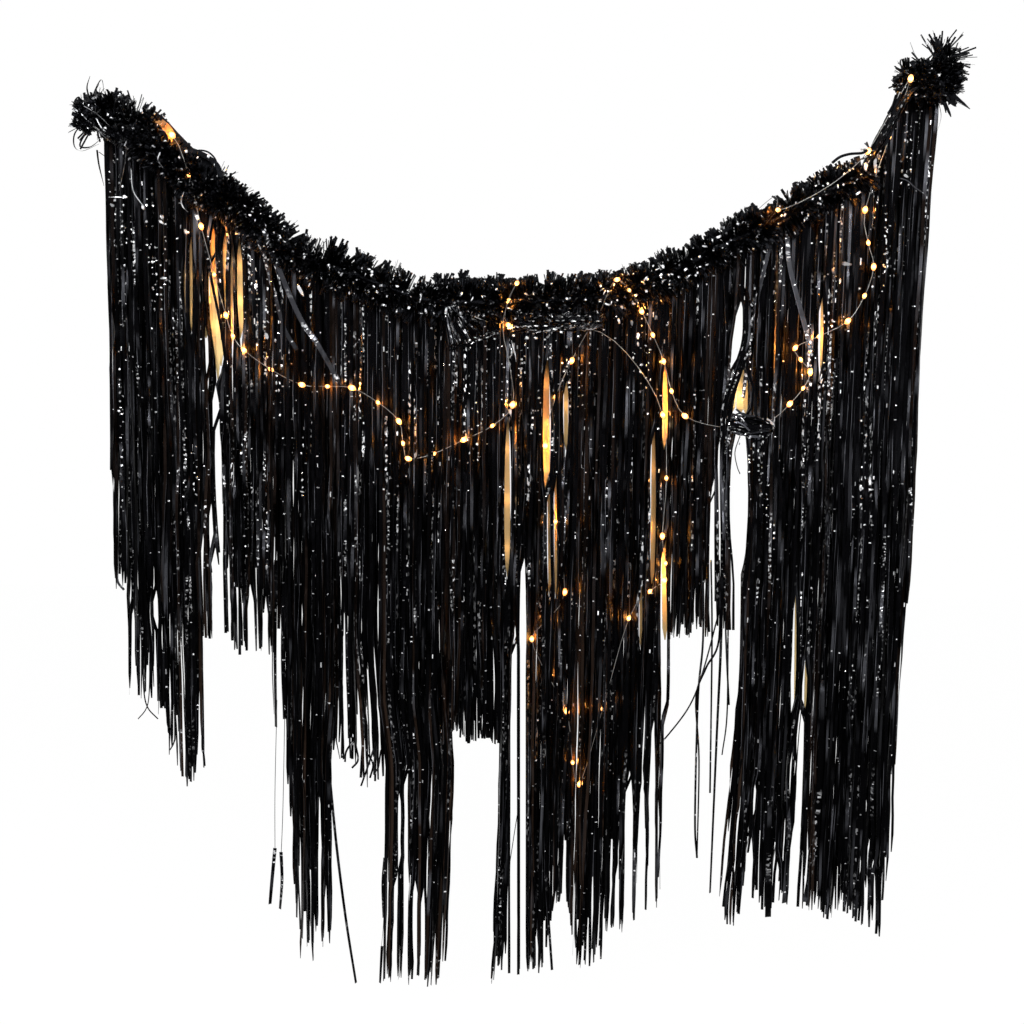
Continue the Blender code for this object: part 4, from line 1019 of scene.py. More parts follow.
# Strands of the back layer that have turned their reverse to the front, seen through slits: panel,
# then u and v at the top and at the bottom, width in pixels, painted light (paleness) at both ends
turned = (
    (1, 184.5, 252, 185, 315, 5, 0.3, 0.5), (1, 190, 226, 190, 338, 5, 0.1, 0.7),
    (2, 206, 246, 206, 338, 6, 0.4, 0.8), (2, 211, 222, 214, 370, 5, 0.0, 1.0),
    (2, 215, 222, 218, 380, 5, 0.0, 1.0), (2, 219.5, 262, 221, 366, 5, 0.5, 1.0),
    (2, 208.5, 296, 213, 372, 5, 0.6, 1.0),
    (2, 224, 224, 226, 322, 7, 0.2, 0.9), (2, 230.6, 246, 231, 350, 4, 0.2, 0.8),
    (2, 239, 238, 240, 338, 7, 0.2, 1.0), (6, 506, 415, 508, 580, 6, 0.3, 0.6),
    (7, 545, 360, 546, 500, 8, 0.0, 0.5), (7, 566, 372, 566, 450, 4, 0.3, 0.6),
    (7, 550, 480, 551, 604, 5, 0.2, 0.6), (7, 556, 476, 556, 600, 3, 0.2, 0.6),
    (8, 666, 360, 665, 456, 6, 0.1, 0.5), (8, 673, 350, 674, 440, 3, 0.3, 0.7),
    (8, 655, 426, 653, 594, 6, 0.1, 0.4), (8, 664, 540, 665, 640, 5, 0.4, 0.7),
    (8, 641, 586, 641, 650, 3, 0.2, 0.6), (11, 735, 370, 732, 412, 6, 0.6, 1.0),
    (11, 741, 366, 740, 414, 7, 0.7, 1.0), (11, 746, 366, 746, 414, 6, 0.6, 1.0),
    (11, 823, 296, 822, 376, 4, 0.5, 0.8), (11, 797, 594, 796, 714, 4, 0.8, 1.0),
    (11, 807, 662, 806, 712, 4, 0.8, 1.0),
)
turned_depth = 0.013
turned_points = 9
# The lacquered face of a turned strand lies this far behind it, and is this much wider
back_gap = 0.0004
back_widening = 1.04
# Share of this light that the film round the LEDs lets through
layer_glow_gain = 0.55
# Where light of the LEDs between the layers reaches these strands: u, v and power in watts
layer_glows = (
    (187, 275, 0.010), (188, 310, 0.008), (209, 250, 0.010), (210, 290, 0.016),
    (214, 325, 0.016), (225, 260, 0.010), (226, 300, 0.012), (239, 265, 0.010),
    (239, 300, 0.016), (507, 450, 0.010), (507, 500, 0.010), (507, 550, 0.006),
    (546, 385, 0.014), (546, 425, 0.018), (546, 470, 0.014), (566, 405, 0.010),
    (552, 520, 0.010), (552, 565, 0.006), (666, 385, 0.016), (665, 425, 0.014),
    (654, 470, 0.008), (654, 530, 0.006), (664, 590, 0.012), (741, 396, 0.024),
    (734, 390, 0.010), (822, 335, 0.008),
)


def turned_strands():
    """The turned strands by number of their panel, and their lacquered faces by body.

    Those faces lie behind them, and the back of the curtain shows them.
    """
    draw = np.random.default_rng(71)
    groups, backs = {}, {}
    for panel, top_u, top_v, low_u, low_v, wide, top_pale, low_pale in turned:
        top, low = seen(top_u, top_v, turned_depth), seen(low_u, low_v, turned_depth)
        line = top + (low - top) * np.linspace(0, 1, turned_points)[:, None]
        across = np.tile([1.0, draw.uniform(-0.2, 0.2), 0.0], (turned_points, 1))
        width = np.full(turned_points, wide * picture_scale)
        width[-1] *= 0.2
        painted_light_along = np.linspace(top_pale, low_pale, turned_points)
        groups.setdefault(panel, []).append(
            make_strip(draw, line, across, width, film_thickness, painted_light_along))
        backs.setdefault(f"back_panel_{panel}", []).append(
            make_strip(draw, line + to_wall * back_gap, across, width * back_widening,
                       film_thickness, 0.3))
    return groups, backs


def point_lamp(name, place, power, tint, radius):
    """A small lamp that shines to all sides, with its power in watts."""
    data = bpy.data.lights.new(name, "POINT")
    data.energy = power
    data.color = colour(tint)[:3]
    data.shadow_soft_size = radius
    put(name, data).location = place


def light_between_layers():
    """Light of the LEDs that lie between the layers of fringe."""
    for u, v, power in layer_glows:
        point_lamp("layer_glow", seen(u, v, 0.002), power * layer_glow_gain, "#ffd49a", 0.003)


# Creased spots painted white as glints, one below the other along a strand: panel, middle u and
# v, spread of both, columns, length in mm
creased = (
    ("front_panel_1", 131, 215, 18, 50, 9, 4.0), ("front_panel_1", 150, 270, 16, 60, 7, 4.0),
    ("front_panel_1", 128, 420, 14, 90, 5, 4.0), ("front_panel_2", 266, 285, 12, 45, 6, 4.5),
    ("front_panel_2", 244, 460, 3, 60, 3, 4.5), ("front_panel_2", 302, 455, 3, 40, 2, 5.0),
    ("front_panel_2", 268, 520, 3, 40, 2, 6.0), ("front_panel_6", 833, 285, 5, 26, 2, 4.0),
    ("front_panel_6", 755, 424, 12, 5, 5, 4.0), ("back_panel_12", 886, 240, 4, 80, 3, 3.6),
    ("back_panel_12", 905, 150, 12, 50, 5, 4.0), ("back_panel_12", 868, 450, 5, 70, 3, 4.0),
    ("back_panel_11", 776, 300, 3, 60, 2, 5.0), ("back_panel_11", 826, 340, 3, 50, 2, 4.0),
    ("back_panel_11", 750, 330, 2, 40, 3, 4.0), ("back_panel_11", 770, 500, 8, 60, 3, 4.0),
    ("back_panel_8", 642, 335, 14, 40, 4, 3.6), ("back_panel_7", 562, 350, 26, 40, 6, 3.6),
    ("back_panel_6", 474, 360, 18, 30, 4, 3.6), ("back_panel_1", 189, 470, 8, 60, 4, 4.0),
)
# Single painted glints on creases: panel, u and v, length and width in mm, and the slope in degrees
flashing = (
    ("front_panel_6", 847, 264, 13, 5.0, 82), ("back_panel_12", 866, 167, 11, 4.6, 2),
    ("back_panel_12", 875, 162, 15, 4.6, -4), ("back_panel_12", 870, 181, 6, 5.0, 20),
    ("back_panel_12", 906, 176, 6, 3.4, 60), ("front_panel_6", 833, 271, 6, 4.0, 10),
    ("front_panel_6", 840, 281, 7, 3.0, 0), ("front_panel_1", 197, 217, 9, 4.2, 12),
    ("front_panel_1", 186, 232, 6, 3.6, 25), ("front_panel_2", 238, 233, 6, 4.2, 60),
    ("front_panel_2", 245, 235, 6, 4.2, 60), ("front_panel_2", 259, 245, 14, 2.4, 24),
    ("front_panel_2", 256, 286, 7, 4.2, -5), ("front_panel_2", 300, 290, 16, 4.6, 24),
    ("front_panel_2", 266, 336, 9, 4.4, 16), ("front_panel_1", 118, 197, 20, 1.4, 88),
    ("front_panel_1", 125, 197, 6, 3.6, 84), ("front_panel_1", 112, 205, 6, 3.6, 60),
    ("front_panel_1", 143, 207, 6, 3.6, 20), ("front_panel_1", 162, 217, 6, 4.0, 10),
    ("front_panel_1", 161, 222, 7, 3.6, 50), ("front_panel_1", 153, 262, 5, 3.0, 75),
    ("front_panel_1", 164, 278, 7, 3.0, 85), ("front_panel_5", 541, 316, 8, 1.8, 75),
    ("front_panel_5", 552, 316, 9, 2.4, 70), ("front_panel_5", 561, 317, 4, 1.8, 90),
    ("front_panel_5", 573, 321, 6, 2.6, 90), ("front_panel_5", 583, 320, 5, 2.0, 88),
    ("front_panel_5", 590, 320, 4, 1.8, 95), ("front_panel_5", 598, 321, 4, 2.2, 90),
    ("front_panel_5", 536, 326, 6, 1.8, 85), ("front_panel_5", 546, 326, 5, 2.0, 90),
    ("front_panel_5", 527, 326, 5, 1.6, 88), ("front_panel_5", 518, 327, 4, 1.4, 90),
    ("front_panel_5", 555, 329, 6, 2.8, 80), ("front_panel_5", 527, 338, 5, 3.4, 70),
    ("front_panel_5", 536, 338, 5, 2.8, 80), ("front_panel_5", 548, 337, 5, 2.6, 120),
    ("front_panel_5", 561, 332, 4, 2.4, 95), ("back_panel_8", 615, 304, 5, 2.8, 30),
    ("back_panel_8", 622, 307, 6, 3.2, 20), ("back_panel_8", 619, 321, 7, 2.8, 10),
    ("back_panel_8", 632, 323, 7, 3.2, 10), ("back_panel_8", 638, 336, 8, 3.6, 5),
    ("back_panel_8", 638, 344, 6, 3.0, 12), ("front_panel_4", 464, 328, 40, 1.3, 29),
    ("front_panel_4", 450, 322, 46, 1.1, 16), ("front_panel_4", 478, 318, 30, 1.3, 70),
    ("front_panel_5", 514, 351, 28, 1.3, 14),
)
# Depths of the spots and of the single creases, just in front of each layer
spot_depth = {"front": -0.0115, "back": -0.0060}
crease_depth = {"front": -0.0120, "back": -0.0064}


def crease(draw, place, long, wide, tilt):
    """A short uneven strip painted bright as a glint, at this tilt from upright."""
    run = np.array([math.sin(tilt), 0, -math.cos(tilt)])
    line = place + run * np.linspace(-0.5, 0.5, 4)[:, None] * long
    line += draw.normal(0, 0.0003, (4, 3))
    across = np.tile([run[2], draw.normal(0, 0.3), -run[0]], (4, 1))
    width = wide * np.array([draw.uniform(0.2, 0.8), 1.0, draw.uniform(0.6, 1.0),
                             draw.uniform(0.1, 0.6)])
    return make_strip(draw, line, across, width, film_thickness, 0.5, draw.uniform(1.15, 1.9))


def flashes():
    """Small stretches of creased film painted bright as glints, by panel."""
    draw = np.random.default_rng(83)
    groups = {}
    for body, u, v, wide, high, columns, length in creased:
        spots = groups.setdefault(body, [])
        deep = spot_depth[body.split("_")[0]]
        for _ in range(columns):
            column = u + draw.normal(0, 0.6) * wide
            slant = draw.normal(0, 0.02)
            along = v + draw.uniform(-0.9, 0.3) * high
            for _ in range(draw.integers(3, 9)):
                along += draw.uniform(3, 14) * (2.5 if draw.random() < 0.2 else 1)
                place = seen(column + slant * (along - v) + draw.normal(0, 0.5), along, deep)
                long = length * draw.uniform(0.25, 1.0) ** 1.5 * mm
                tilt = draw.normal(0, 0.15) if draw.random() < 0.7 else draw.uniform(0.9, 1.7)
                spots.append(crease(draw, place, long, draw.uniform(0.0009, 0.0030), tilt))
    for body, u, v, long, wide, slope in flashing:
        place = seen(u, v, crease_depth[body.split("_")[0]])
        groups.setdefault(body, []).append(
            crease(draw, place, long * mm, wide * mm, math.radians(slope)))
    return groups


def make_fringe():
    """The strands of each panel, with what leaves the even fringe, and the turned strands."""
    shapes = slit_shapes()
    extras = special_strands()
    turned_faces, turned_backs = turned_strands()
    for groups in (flashes(), turned_backs):
        for body, strips in groups.items():
            extras.setdefault(body, []).extend(strips)
    for panel in panels:
        body = body_of(panel)
        strips = panel_strips(panel, shapes) + extras.get(body, [])
        piece_of(f"{panel.side}_strands_{panel.number}", strips, film, body,
                 [f"fringe_{panel.side}_{panel.number}"])
    for number, strips in turned_faces.items():
        piece_of(f"turned_strands_{number}", strips, reverse,
                 f"back_panel_{number}")


# Headers and knot

# Gathered bands of header film: places of the picture, ribbons, spread and depth in metres
fan_band = (((452, 312), (478, 313), (497, 316)), 7, 0.016, -0.0105)
fan_hem_band = (((449, 348), (466, 344), (484, 337), (500, 330)), 2, 0.004, -0.0125)
wide_band = (((513, 324), (540, 323), (575, 322), (603, 319)), 13, 0.022, -0.0105)
fan_strands = 15
knot_folds = 22
# The folds' middle line, from pinch to pinch: u, v and how far it bulges in pixels
knot_marks = ((729, 424, 4), (740, 424, 9), (752, 427, 10), (764, 427, 8), (773, 428, 3))
# Folds that lie on the front of the knot
front_folds = (
    ((733, 414), (741, 418), (747, 426)), ((734, 422), (742, 424), (750, 431)),
    ((731, 430), (740, 431), (749, 437)), ((736, 409), (744, 415), (755, 416)),
    ((752, 441), (762, 440), (771, 434)),
)


def crinkled_band(draw, marks, rows, spread, y):
    """Gathered film of a header: ribbons side by side that run together and ripple."""
    strips = []
    middle = smooth_line([seen(u, v, y) for u, v in marks], 9)
    share = np.linspace(0, 1, len(middle))
    for row in range(rows):
        line = middle.copy()
        line[:, 2] += (row / (rows - 1) - 0.5) * spread + 0.0013 * wave(draw, share, 3, 9)
        line[:, 1] += draw.uniform(-0.0015, 0.0015) - 0.001 * wave(draw, share, 4, 11)
        turn = draw.normal(0, 0.5) + 0.7 * wave(draw, share, 2, 7)
        across = np.stack([np.zeros(len(line)), np.sin(turn), np.cos(turn)], 1)
        strips.append(make_strip(draw, line, across, spread / rows * 1.3, film_thickness,
                                 draw.uniform(0.0, 0.5), draw.uniform(0.5, 1.0)))
    return strips


def make_headers():
    """The gathered header film that shows below the middle of the garland, and its fan."""
    draw = np.random.default_rng(61)
    strips = crinkled_band(draw, *fan_band)
    # The fan spreads from left to right down to a curved hem
    for index in range(fan_strands):
        share = index / (fan_strands - 1)
        top = (443 + 5 * share, 303)
        foot = (447 + 42 * share, 348 - 5 * share - 20 * share**3)
        strips.append(marked_strand(draw, (top, foot), -0.0118, 0.0022, draw.uniform(0.4, 1)))
    strips += crinkled_band(draw, *fan_hem_band)
    piece_of("header_fan", strips, film, "front_panel_4")
    strips = crinkled_band(draw, *wide_band)
    piece_of("crinkled_header", strips, film, "front_panel_5")


def make_knot():
    """Strands gathered into a knot: folds that bulge out between the pinched ends."""
    draw = np.random.default_rng(67)
    strips = []
    for index in range(knot_folds):
        turn = 2 * math.pi * index / knot_folds
        rise, deep = math.cos(turn), math.sin(turn)
        swell = (1, *draw.uniform(0.5, 1.25, 3), 1)
        marks = [[u, v - bulge * by * rise] for (u, v, bulge), by in zip(knot_marks, swell)]
        marks[0][0] += draw.uniform(-2, 3)
        marks[-1][0] += draw.uniform(-3, 2)
        strips.append(marked_strand(draw, marks, -0.0075 - 0.0036 * deep,
                                    draw.uniform(0.0022, 0.0042), draw.uniform(0.3, 1)))
    for marks in front_folds:
        strips.append(marked_strand(draw, marks, -0.0122, draw.uniform(0.0016, 0.0034), 0.9))
    piece_of("knotted_strands", strips, film, "front_panel_6",
             ["gathered_knot"])


# Tinsel

tinsel_thickness = film_thickness * 1.5
bristle_width = 0.0033
bristle_reach = 0.0295
low_reach = bristle_reach * 1.15
# How far the bristles reach, by place along the curtain. Those that hang down have low_reach
reach_profile = np.array([
    (0.045, 0.044), (0.055, 0.036), (0.075, 0.034), (0.100, 0.031), (0.116, 0.028),
    (0.150, 0.030), (0.190, 0.030), (0.212, 0.027), (0.250, 0.032), (0.280, 0.032),
    (0.294, 0.040), (0.310, 0.031), (0.350, 0.032), (0.365, 0.035), (0.404, 0.028),
    (0.444, 0.036), (0.477, 0.031), (0.524, 0.027), (0.568, 0.032), (0.620, 0.029),
    (0.680, 0.030), (0.710, 0.030), (0.741, 0.023), (0.775, 0.030), (0.805, 0.030),
    (0.824, 0.037), (0.842, 0.027), (0.853, 0.010), (0.862, 0.030), (0.875, 0.032),
    (0.883, 0.013), (0.893, 0.028), (0.918, 0.028), (0.949, 0.020)])
core_radius = 0.005
core_steps = 200
twist_pitch = 0.07
clump_pitch = 0.0008
# Bristles whose tips lie this far below the headers' middle lie against the fringe
against_fringe = 0.003
# Those in the left tuft and beside the battery case stay with the garland all the same
left_tuft_end = 0.10
beside_case = (0.44, 0.56)
# How far the tips of bristles and of covering clumps stay from the LEDs
bristle_clearance = 0.007
cover_clearance = 0.011
# Shares of the core where the battery case lies behind it, and clumps that stand up over it
over_case = (0.44, 0.56)
over_case_clumps = 150
# Peaks of the garland's top edge in its middle: u and v of the tip, and how far it leans aside
top_edge_peaks = (
    (434, 272, -0.5), (451, 271, 0.45), (464, 269, 0.1), (481, 275, 0.1), (498, 272, 0.0),
    (549, 271, 0.0), (560, 276, -0.2), (572, 272, 0.15), (583, 271, 0.25), (590, 272, 0.3),
    (599, 270, 0.2), (606, 268, 0.3), (630, 265, -0.3),
)
# Bristle ends painted as glints on the front: from and to which share of the core, and how many
flash_stretches = (
    (0.0, 0.20, 80), (0.20, 0.42, 44), (0.42, 0.66, 40), (0.66, 0.80, 46), (0.80, 1.0, 40),
)


def frame_at(line, at):
    """Place and directions (along, up, across) of the garland at this share of its line."""
    spot = at * (len(line) - 1)
    low = int(min(spot, len(line) - 2))
    step = line[low + 1] - line[low]
    run = unit(step)
    up = unit(np.cross(run, to_wall))
    if up[2] < 0:
        up = -up
    return line[low] + step * (spot - low), run, up, to_wall


def bristle(draw, root, out, reach, width, flat=None):
    """A short strip that stands out from its root and bends a little."""
    share = np.linspace(0, 1, 4)
    side = unit(np.cross(out, draw.normal(0, 1, 3) if flat is None else flat))
    bend = draw.normal(0, 0.10) * reach
    line = root + out * (reach * share)[:, None] + np.cross(out, side) * (bend * share**2)[:, None]
    across = np.tile(side, (len(share), 1))
    return make_strip(draw, line, across, width, tinsel_thickness, draw.random())


def clump(draw, root, out, reach, spread, count, run):
    """Bristles that stand side by side along the run, as one blunt tuft."""
    strips = []
    flat = draw.normal(0, 1, 3)
    for _ in range(count):
        way = unit(out + draw.normal(0, spread, 3))
        beside = run * draw.uniform(-0.0036, 0.0036) + draw.normal(0, 0.0008, 3)
        strips.append(bristle(draw, root + beside, way, reach * draw.uniform(0.88, 1.03),
                              bristle_width, flat + draw.normal(0, 0.25, 3)))
    return strips


def leaned_on(tip):
    """The body that a bristle moves with: its panel's, if it lies low against a panel."""
    if tip[2] > hang_height(tip[0]) - against_fringe:
        return "garland"
    side = "front" if tip[1] < 0 else "back"
    in_left_tuft = side == "front" and tip[0] < left_tuft_end
    at_case = side == "back" and beside_case[0] < tip[0] < beside_case[1]
    if in_left_tuft or at_case:
        return "garland"
    for panel in panels:
        if panel.side == side and panel.left - edge_spill < tip[0] < panel.right + edge_spill:
            return body_of(panel)
    return "garland"


def hides_led(tip):
    """Whether a bristle with this tip stands between the viewer and an LED."""
    off = np.hypot(led_places[:, 0] - tip[0], led_places[:, 2] - tip[2])
    near = led_places[off < bristle_clearance]
    return len(near) > 0 and tip[1] < near[:, 1].max()


def wound_core(draw, line, count, radius, width):
    """Film strips twisted together along a line."""
    strips = []
    turns = np.linspace(0, 1, len(line)) * line_length(line) / twist_pitch
    rise = np.cross(units(np.gradient(line, axis=0)), to_wall)
    for index in range(count):
        turn = 2 * math.pi * (index / count + turns)
        near = radius * draw.uniform(0.8, 1.0)
        out = rise * np.cos(turn)[:, None] + to_wall * np.sin(turn)[:, None]
        round_it = rise * -np.sin(turn)[:, None] + to_wall * np.cos(turn)[:, None]
        strips.append(make_strip(draw, line + out * near, round_it, width, film_thickness,
                                 draw.random()))
    return strips


def garland_clumps(draw, line):
    """The core and the clumps all round it, by the body that they move with."""
    groups = {"garland": wound_core(draw, line, count=12, radius=core_radius, width=0.0032)}
    rounds = int(line_length(line) / clump_pitch)
    for index in range(rounds):
        place, run, up, across = frame_at(line, (index + draw.uniform(0, 1)) / rounds)
        turn = draw.uniform(0, 2 * math.pi)
        out = unit(up * math.cos(turn) + across * math.sin(turn) + run * draw.normal(0.1, 0.3))
        low = max(0, -out[2])
        reach = np.interp(place[0], *reach_profile.T) * (1 - low) + low_reach * low
        reach *= draw.uniform(0.74, 1.0)
        strips = clump(draw, place + out * core_radius * 0.6, out, reach, 0.08, 5, run)
        tip = place + out * reach
        if not hides_led(tip):
            groups.setdefault(leaned_on(tip), []).extend(strips)
    return groups


def clumps_over_case(draw, line):
    """Upright clumps of uneven height, which hide the top edge of the battery case."""
    strips = []
    for _ in range(over_case_clumps):
        place, run, up, across = frame_at(line, draw.uniform(*over_case))
        out = unit(up + across * draw.normal(0, 0.25) + run * draw.normal(0, 0.12))
        uneven = 0.98 + 0.08 * math.sin(410 * place[0]) + 0.07 * math.sin(233 * place[0])
        reach = bristle_reach * uneven * draw.uniform(0.9, 1.05)
        strips += clump(draw, place, out, reach, 0.06, 5, run)
    return strips


def clumps_at_peaks(draw):
    """A small fan of clumps at each peak of the top edge."""
    strips = []
    for u, v, aside in top_edge_peaks:
        tip = seen(u, v, draw.uniform(-0.006, 0.006))
        root = tip - np.array([aside, 0, 1.0]) * bristle_reach * 0.78
        for _ in range(3):
            out = unit(np.array([aside + draw.normal(0, 0.14), draw.normal(0, 0.15), 1.0]))
            reach = bristle_reach * draw.uniform(0.66, 0.82)
            strips += clump(draw, root, out, reach, 0.10, 5, np.array([0.5, 0, 0]))
    return strips


def make_garland():
    """The garland's tinsel. What lies against a panel of fringe is a piece that moves with it."""
    draw = np.random.default_rng(41)
    line = even_line(core_line, core_steps)
    groups = garland_clumps(draw, line)
    groups["garland"] += clumps_over_case(draw, line)
    groups["garland"] += clumps_at_peaks(draw)
    for low, high, count in flash_stretches:
        for _ in range(count):
            groups["garland"].append(flash(draw, line, draw.uniform(low, high)))
    for body, strips in groups.items():
        if body == "garland":
            piece_of("tinsel_garland", strips, tinsel, body,
                     [f"garland_slice_{n}" for n in range(1, 10)])
        else:
            piece_of(body.replace("panel", "bristles"), strips, tinsel, body)


def flash(draw, line, at):
    """A bent-over bristle end on the front of the garland, painted bright as a glint."""
    place, run, up, across = frame_at(line, at)
    reach = bristle_reach * draw.uniform(0.55, 0.86)
    turn = draw.uniform(-1.25, 1.05)
    root = place + (up * math.sin(turn) - across * math.cos(turn)) * reach
    way = unit(run * draw.normal(0, 1) + up * draw.normal(0, 0.7))
    long = 0.0018 + 0.0052 * draw.random() ** 2
    ends = root + way * np.linspace(0, long, 3)[:, None]
    side = np.cross(way, across) + across * draw.normal(0, 0.35)
    return make_strip(draw, ends, np.tile(side, (3, 1)), draw.uniform(0.0010, 0.0030),
                      film_thickness, 0.5, draw.uniform(0.5, 1.0))


def veil(draw, start, end, count, reach):
    """Clumps just in front of a stretch of the light wire, between two places of its route."""
    strips = []
    for _ in range(count):
        place = start + (end - start) * draw.random()
        root = place + np.array([draw.normal(0, 0.003), -0.0015, draw.normal(0, 0.003)])
        out = unit(np.array([draw.normal(0, 0.9), -0.35, draw.normal(0, 0.9)]))
        strips += clump(draw, root, out, reach * draw.uniform(0.8, 1.2), 0.15, 3,
                        np.array([1.0, 0, 0]))
    return strips


def cover_wire(draw, low, high, count, reach):
    """Clumps that stand out to the front between these shares of the garland's core.

    They hide the light wire where it lies among the bristles, but none of its LEDs.
    """
    line = even_line(core_line, core_steps)
    strips = []
    for _ in range(count):
        place, run, up, across = frame_at(line, draw.uniform(low, high))
        out = unit(-across + up * draw.normal(0.1, 0.45) + run * draw.normal(0, 0.3))
        off = (led_places - place - out * reach)[:, [0, 2]]
        if np.linalg.norm(off, axis=1).min() > cover_clearance:
            strips += clump(draw, place, out, reach * draw.uniform(0.9, 1.1), 0.08, 5, run)
    return strips


def bunch(draw, anchors, count, reach, spread=0.16):
    """Clumps that stand out from a bunched-up end, around a few places in it."""
    strips = []
    middle = np.mean(anchors, axis=0)
    for index in range(count):
        root = anchors[index % len(anchors)] + draw.normal(0, 0.0035, 3)
        away = root - middle
        outward = 0.9 * away / max(np.linalg.norm(away), 0.004)
        out = unit(unit(draw.normal(0, 1, 3)) + outward)
        run = unit(np.cross(out, draw.normal(0, 1, 3)))
        strips += clump(draw, root, out, draw.uniform(0.55, 1.0) * reach, spread, 5, run)
    for _ in range(count // 2):
        out = unit(draw.normal(0, 1, 3))
        start = anchors[draw.integers(len(anchors))] * 0.6 + middle * 0.4
        strips.append(bristle(draw, start, out, reach * 0.8, 2 * bristle_width))
    return strips


def curl(draw, marks, y, width):
    """A loose strip through these places of the picture."""
    line = smooth_line([seen(u, v, y) for u, v in marks], 6)
    turn = draw.uniform(-0.5, 0.5) + np.linspace(0, draw.uniform(-1.5, 1.5), len(line))
    across = np.stack([np.cos(turn) * 0.5, np.sin(turn) + 0.5, np.cos(turn) * 0.2], 1)
    width = width * np.interp(np.linspace(0, 1, len(line)), (0, 0.6, 1), (1, 1, 0.25))
    return make_strip(draw, line, across, width, film_thickness, draw.uniform(0, 0.9))


def narrowed(strip, width, end_share):
    """The same strip, but narrower from this width to a share of it at its end."""
    return strip._replace(width=width * np.linspace(1, end_share, len(strip.line)))


def flat_band(draw, marks, y, width):
    """A wide strip through these places of the picture, its face nearly to the front."""
    line = smooth_line([seen(u, v, y) for u, v in marks], 6)
    run = np.gradient(line, axis=0)
    across = np.stack([-run[:, 2], 0.3 * np.linalg.norm(run, axis=1), run[:, 0]], 1)
    return make_strip(draw, line, across, width, film_thickness, draw.uniform(0.2, 0.85))


def spikes_to(draw, marks, root):
    """Long bristles whose tips are at these places of the picture."""
    strips = []
    for u, v in marks:
        out = seen(u, v, draw.uniform(-0.015, 0.015)) - root
        reach = np.linalg.norm(out)
        start = root + draw.normal(0, 0.002, 3)
        strips.append(bristle(draw, start, out / reach, reach * 0.98, 0.0020))
    return strips


# Left tuft. Middles of its clumps: u, v and depth in metres
left_anchors = np.array([seen(u, v, y) for u, v, y in (
    (100, 108, 0.0), (112, 105, 0.006), (122, 110, -0.004), (98, 120, -0.006),
    (110, 125, 0.0), (128, 118, 0.004), (88, 108, 0.0), (118, 122, -0.008))])
# Loose curled strips: places of the picture, depth and width in metres
left_curls = (
    (((100, 108), (91, 100), (87, 88), (90, 76)), -0.012, 0.0026),
    (((98, 104), (93, 97), (98, 84), (102, 80), (104, 92)), -0.010, 0.0020),
    (((104, 100), (97, 92), (93, 96), (99, 84)), 0.004, 0.0024),
    (((98, 120), (77, 130), (74, 145), (82, 151), (99, 144)), -0.014, 0.0030),
    (((97, 130), (85, 135), (80, 146), (90, 147), (101, 139)), -0.008, 0.0020),
    (((80, 102), (74, 104), (78, 97), (86, 99)), -0.010, 0.0030),
    (((97, 150), (99, 165), (104, 186)), -0.004, 0.0022),
    (((99, 152), (106, 158), (108, 168)), -0.004, 0.0018),
)
# Thin curled strips painted bright as highlights: the same, and how bright they are painted
left_bright_curls = (
    (((72, 109), (88, 120), (104, 134), (122, 140)), -0.034, 0.0016, 0.55),
    (((74, 108), (92, 124), (110, 141), (124, 141)), -0.035, 0.0014, 0.50),
    (((96, 118), (104, 132), (112, 140), (122, 143)), -0.036, 0.0014, 0.45),
    (((84, 106), (97, 114), (112, 128)), -0.034, 0.0014, 0.50),
    (((137, 120), (128, 136), (125, 163), (119, 191)), -0.040, 0.0013, 0.20),
    (((131, 168), (133, 190), (141, 203), (145, 207)), -0.022, 0.0012, 0.25),
    (((184, 192), (181, 200), (183, 207), (188, 212)), -0.036, 0.0014, 0.45),
    (((160, 152), (158, 160), (163, 168)), -0.036, 0.0014, 0.45),
)
# Tips of spikes above the tuft, to its left, and on the garland beside it
left_top_tips = [(126 + 3 * k, 91 + 2.1 * k) for k in range(9)]
left_side_tips = [(71 + 2 * k, 124 + 6 * k) for k in range(5)] + [(76, 138), (70, 130), (80, 132)]
beside_left_tips = ((233, 166), (236, 170), (240, 172), (229, 163), (226, 168))
# Wide strips wound round the garland beside the tuft: places, depth and width
left_bands = (
    (((150, 114), (162, 123), (175, 137), (192, 154), (204, 162), (219, 173)), -0.019, 0.0130),
    (((160, 130), (172, 141), (188, 156), (206, 173), (222, 184)), -0.022, 0.0090),
    (((176, 136), (186, 146), (199, 158)), -0.026, 0.0016),
    (((180, 146), (188, 151), (196, 161)), -0.027, 0.0014),
    (((214, 172), (205, 176), (193, 171), (189, 160), (196, 151), (208, 152), (216, 161),
      (213, 170)), -0.024, 0.0022),
    (((186, 148), (204, 155), (217, 165), (221, 178)), -0.026, 0.0060),
)
# Short ends of film on the front of the tuft, painted bright as glints
bright_end_length = 0.0032
bright_end_width = 0.0028
left_bright_ends = (
    (208, 158), (214, 165), (197, 157), (186, 150), (131, 143), (128, 139), (119, 112),
    (109, 115), (88, 105), (83, 103), (141, 108), (106, 130),
)
# Wide strips that show their gold reverse, painted with the warm glow of the LED beside them
left_turned_bands = (
    (((153, 120), (160, 123), (168, 132)), -0.0215, 0.0050),
    (((161, 121), (168, 127), (174, 136)), -0.0220, 0.0060),
    (((163, 127), (169, 134), (171, 142)), -0.0225, 0.0050),
)


def bright_end(draw, u, v):
    """A short end of film that lies across the front of the tuft, painted bright as a glint."""
    way = np.array([draw.normal(0, 1), 0, draw.normal(0, 1)])
    line = seen(u, v, -0.034) + way * np.linspace(0, bright_end_length, 3)[:, None]
    side = np.cross(line[1] - line[0], to_wall)
    return make_strip(draw, line, np.tile(side, (3, 1)), bright_end_width, film_thickness, 0.5,
                      draw.uniform(0.6, 1.0))


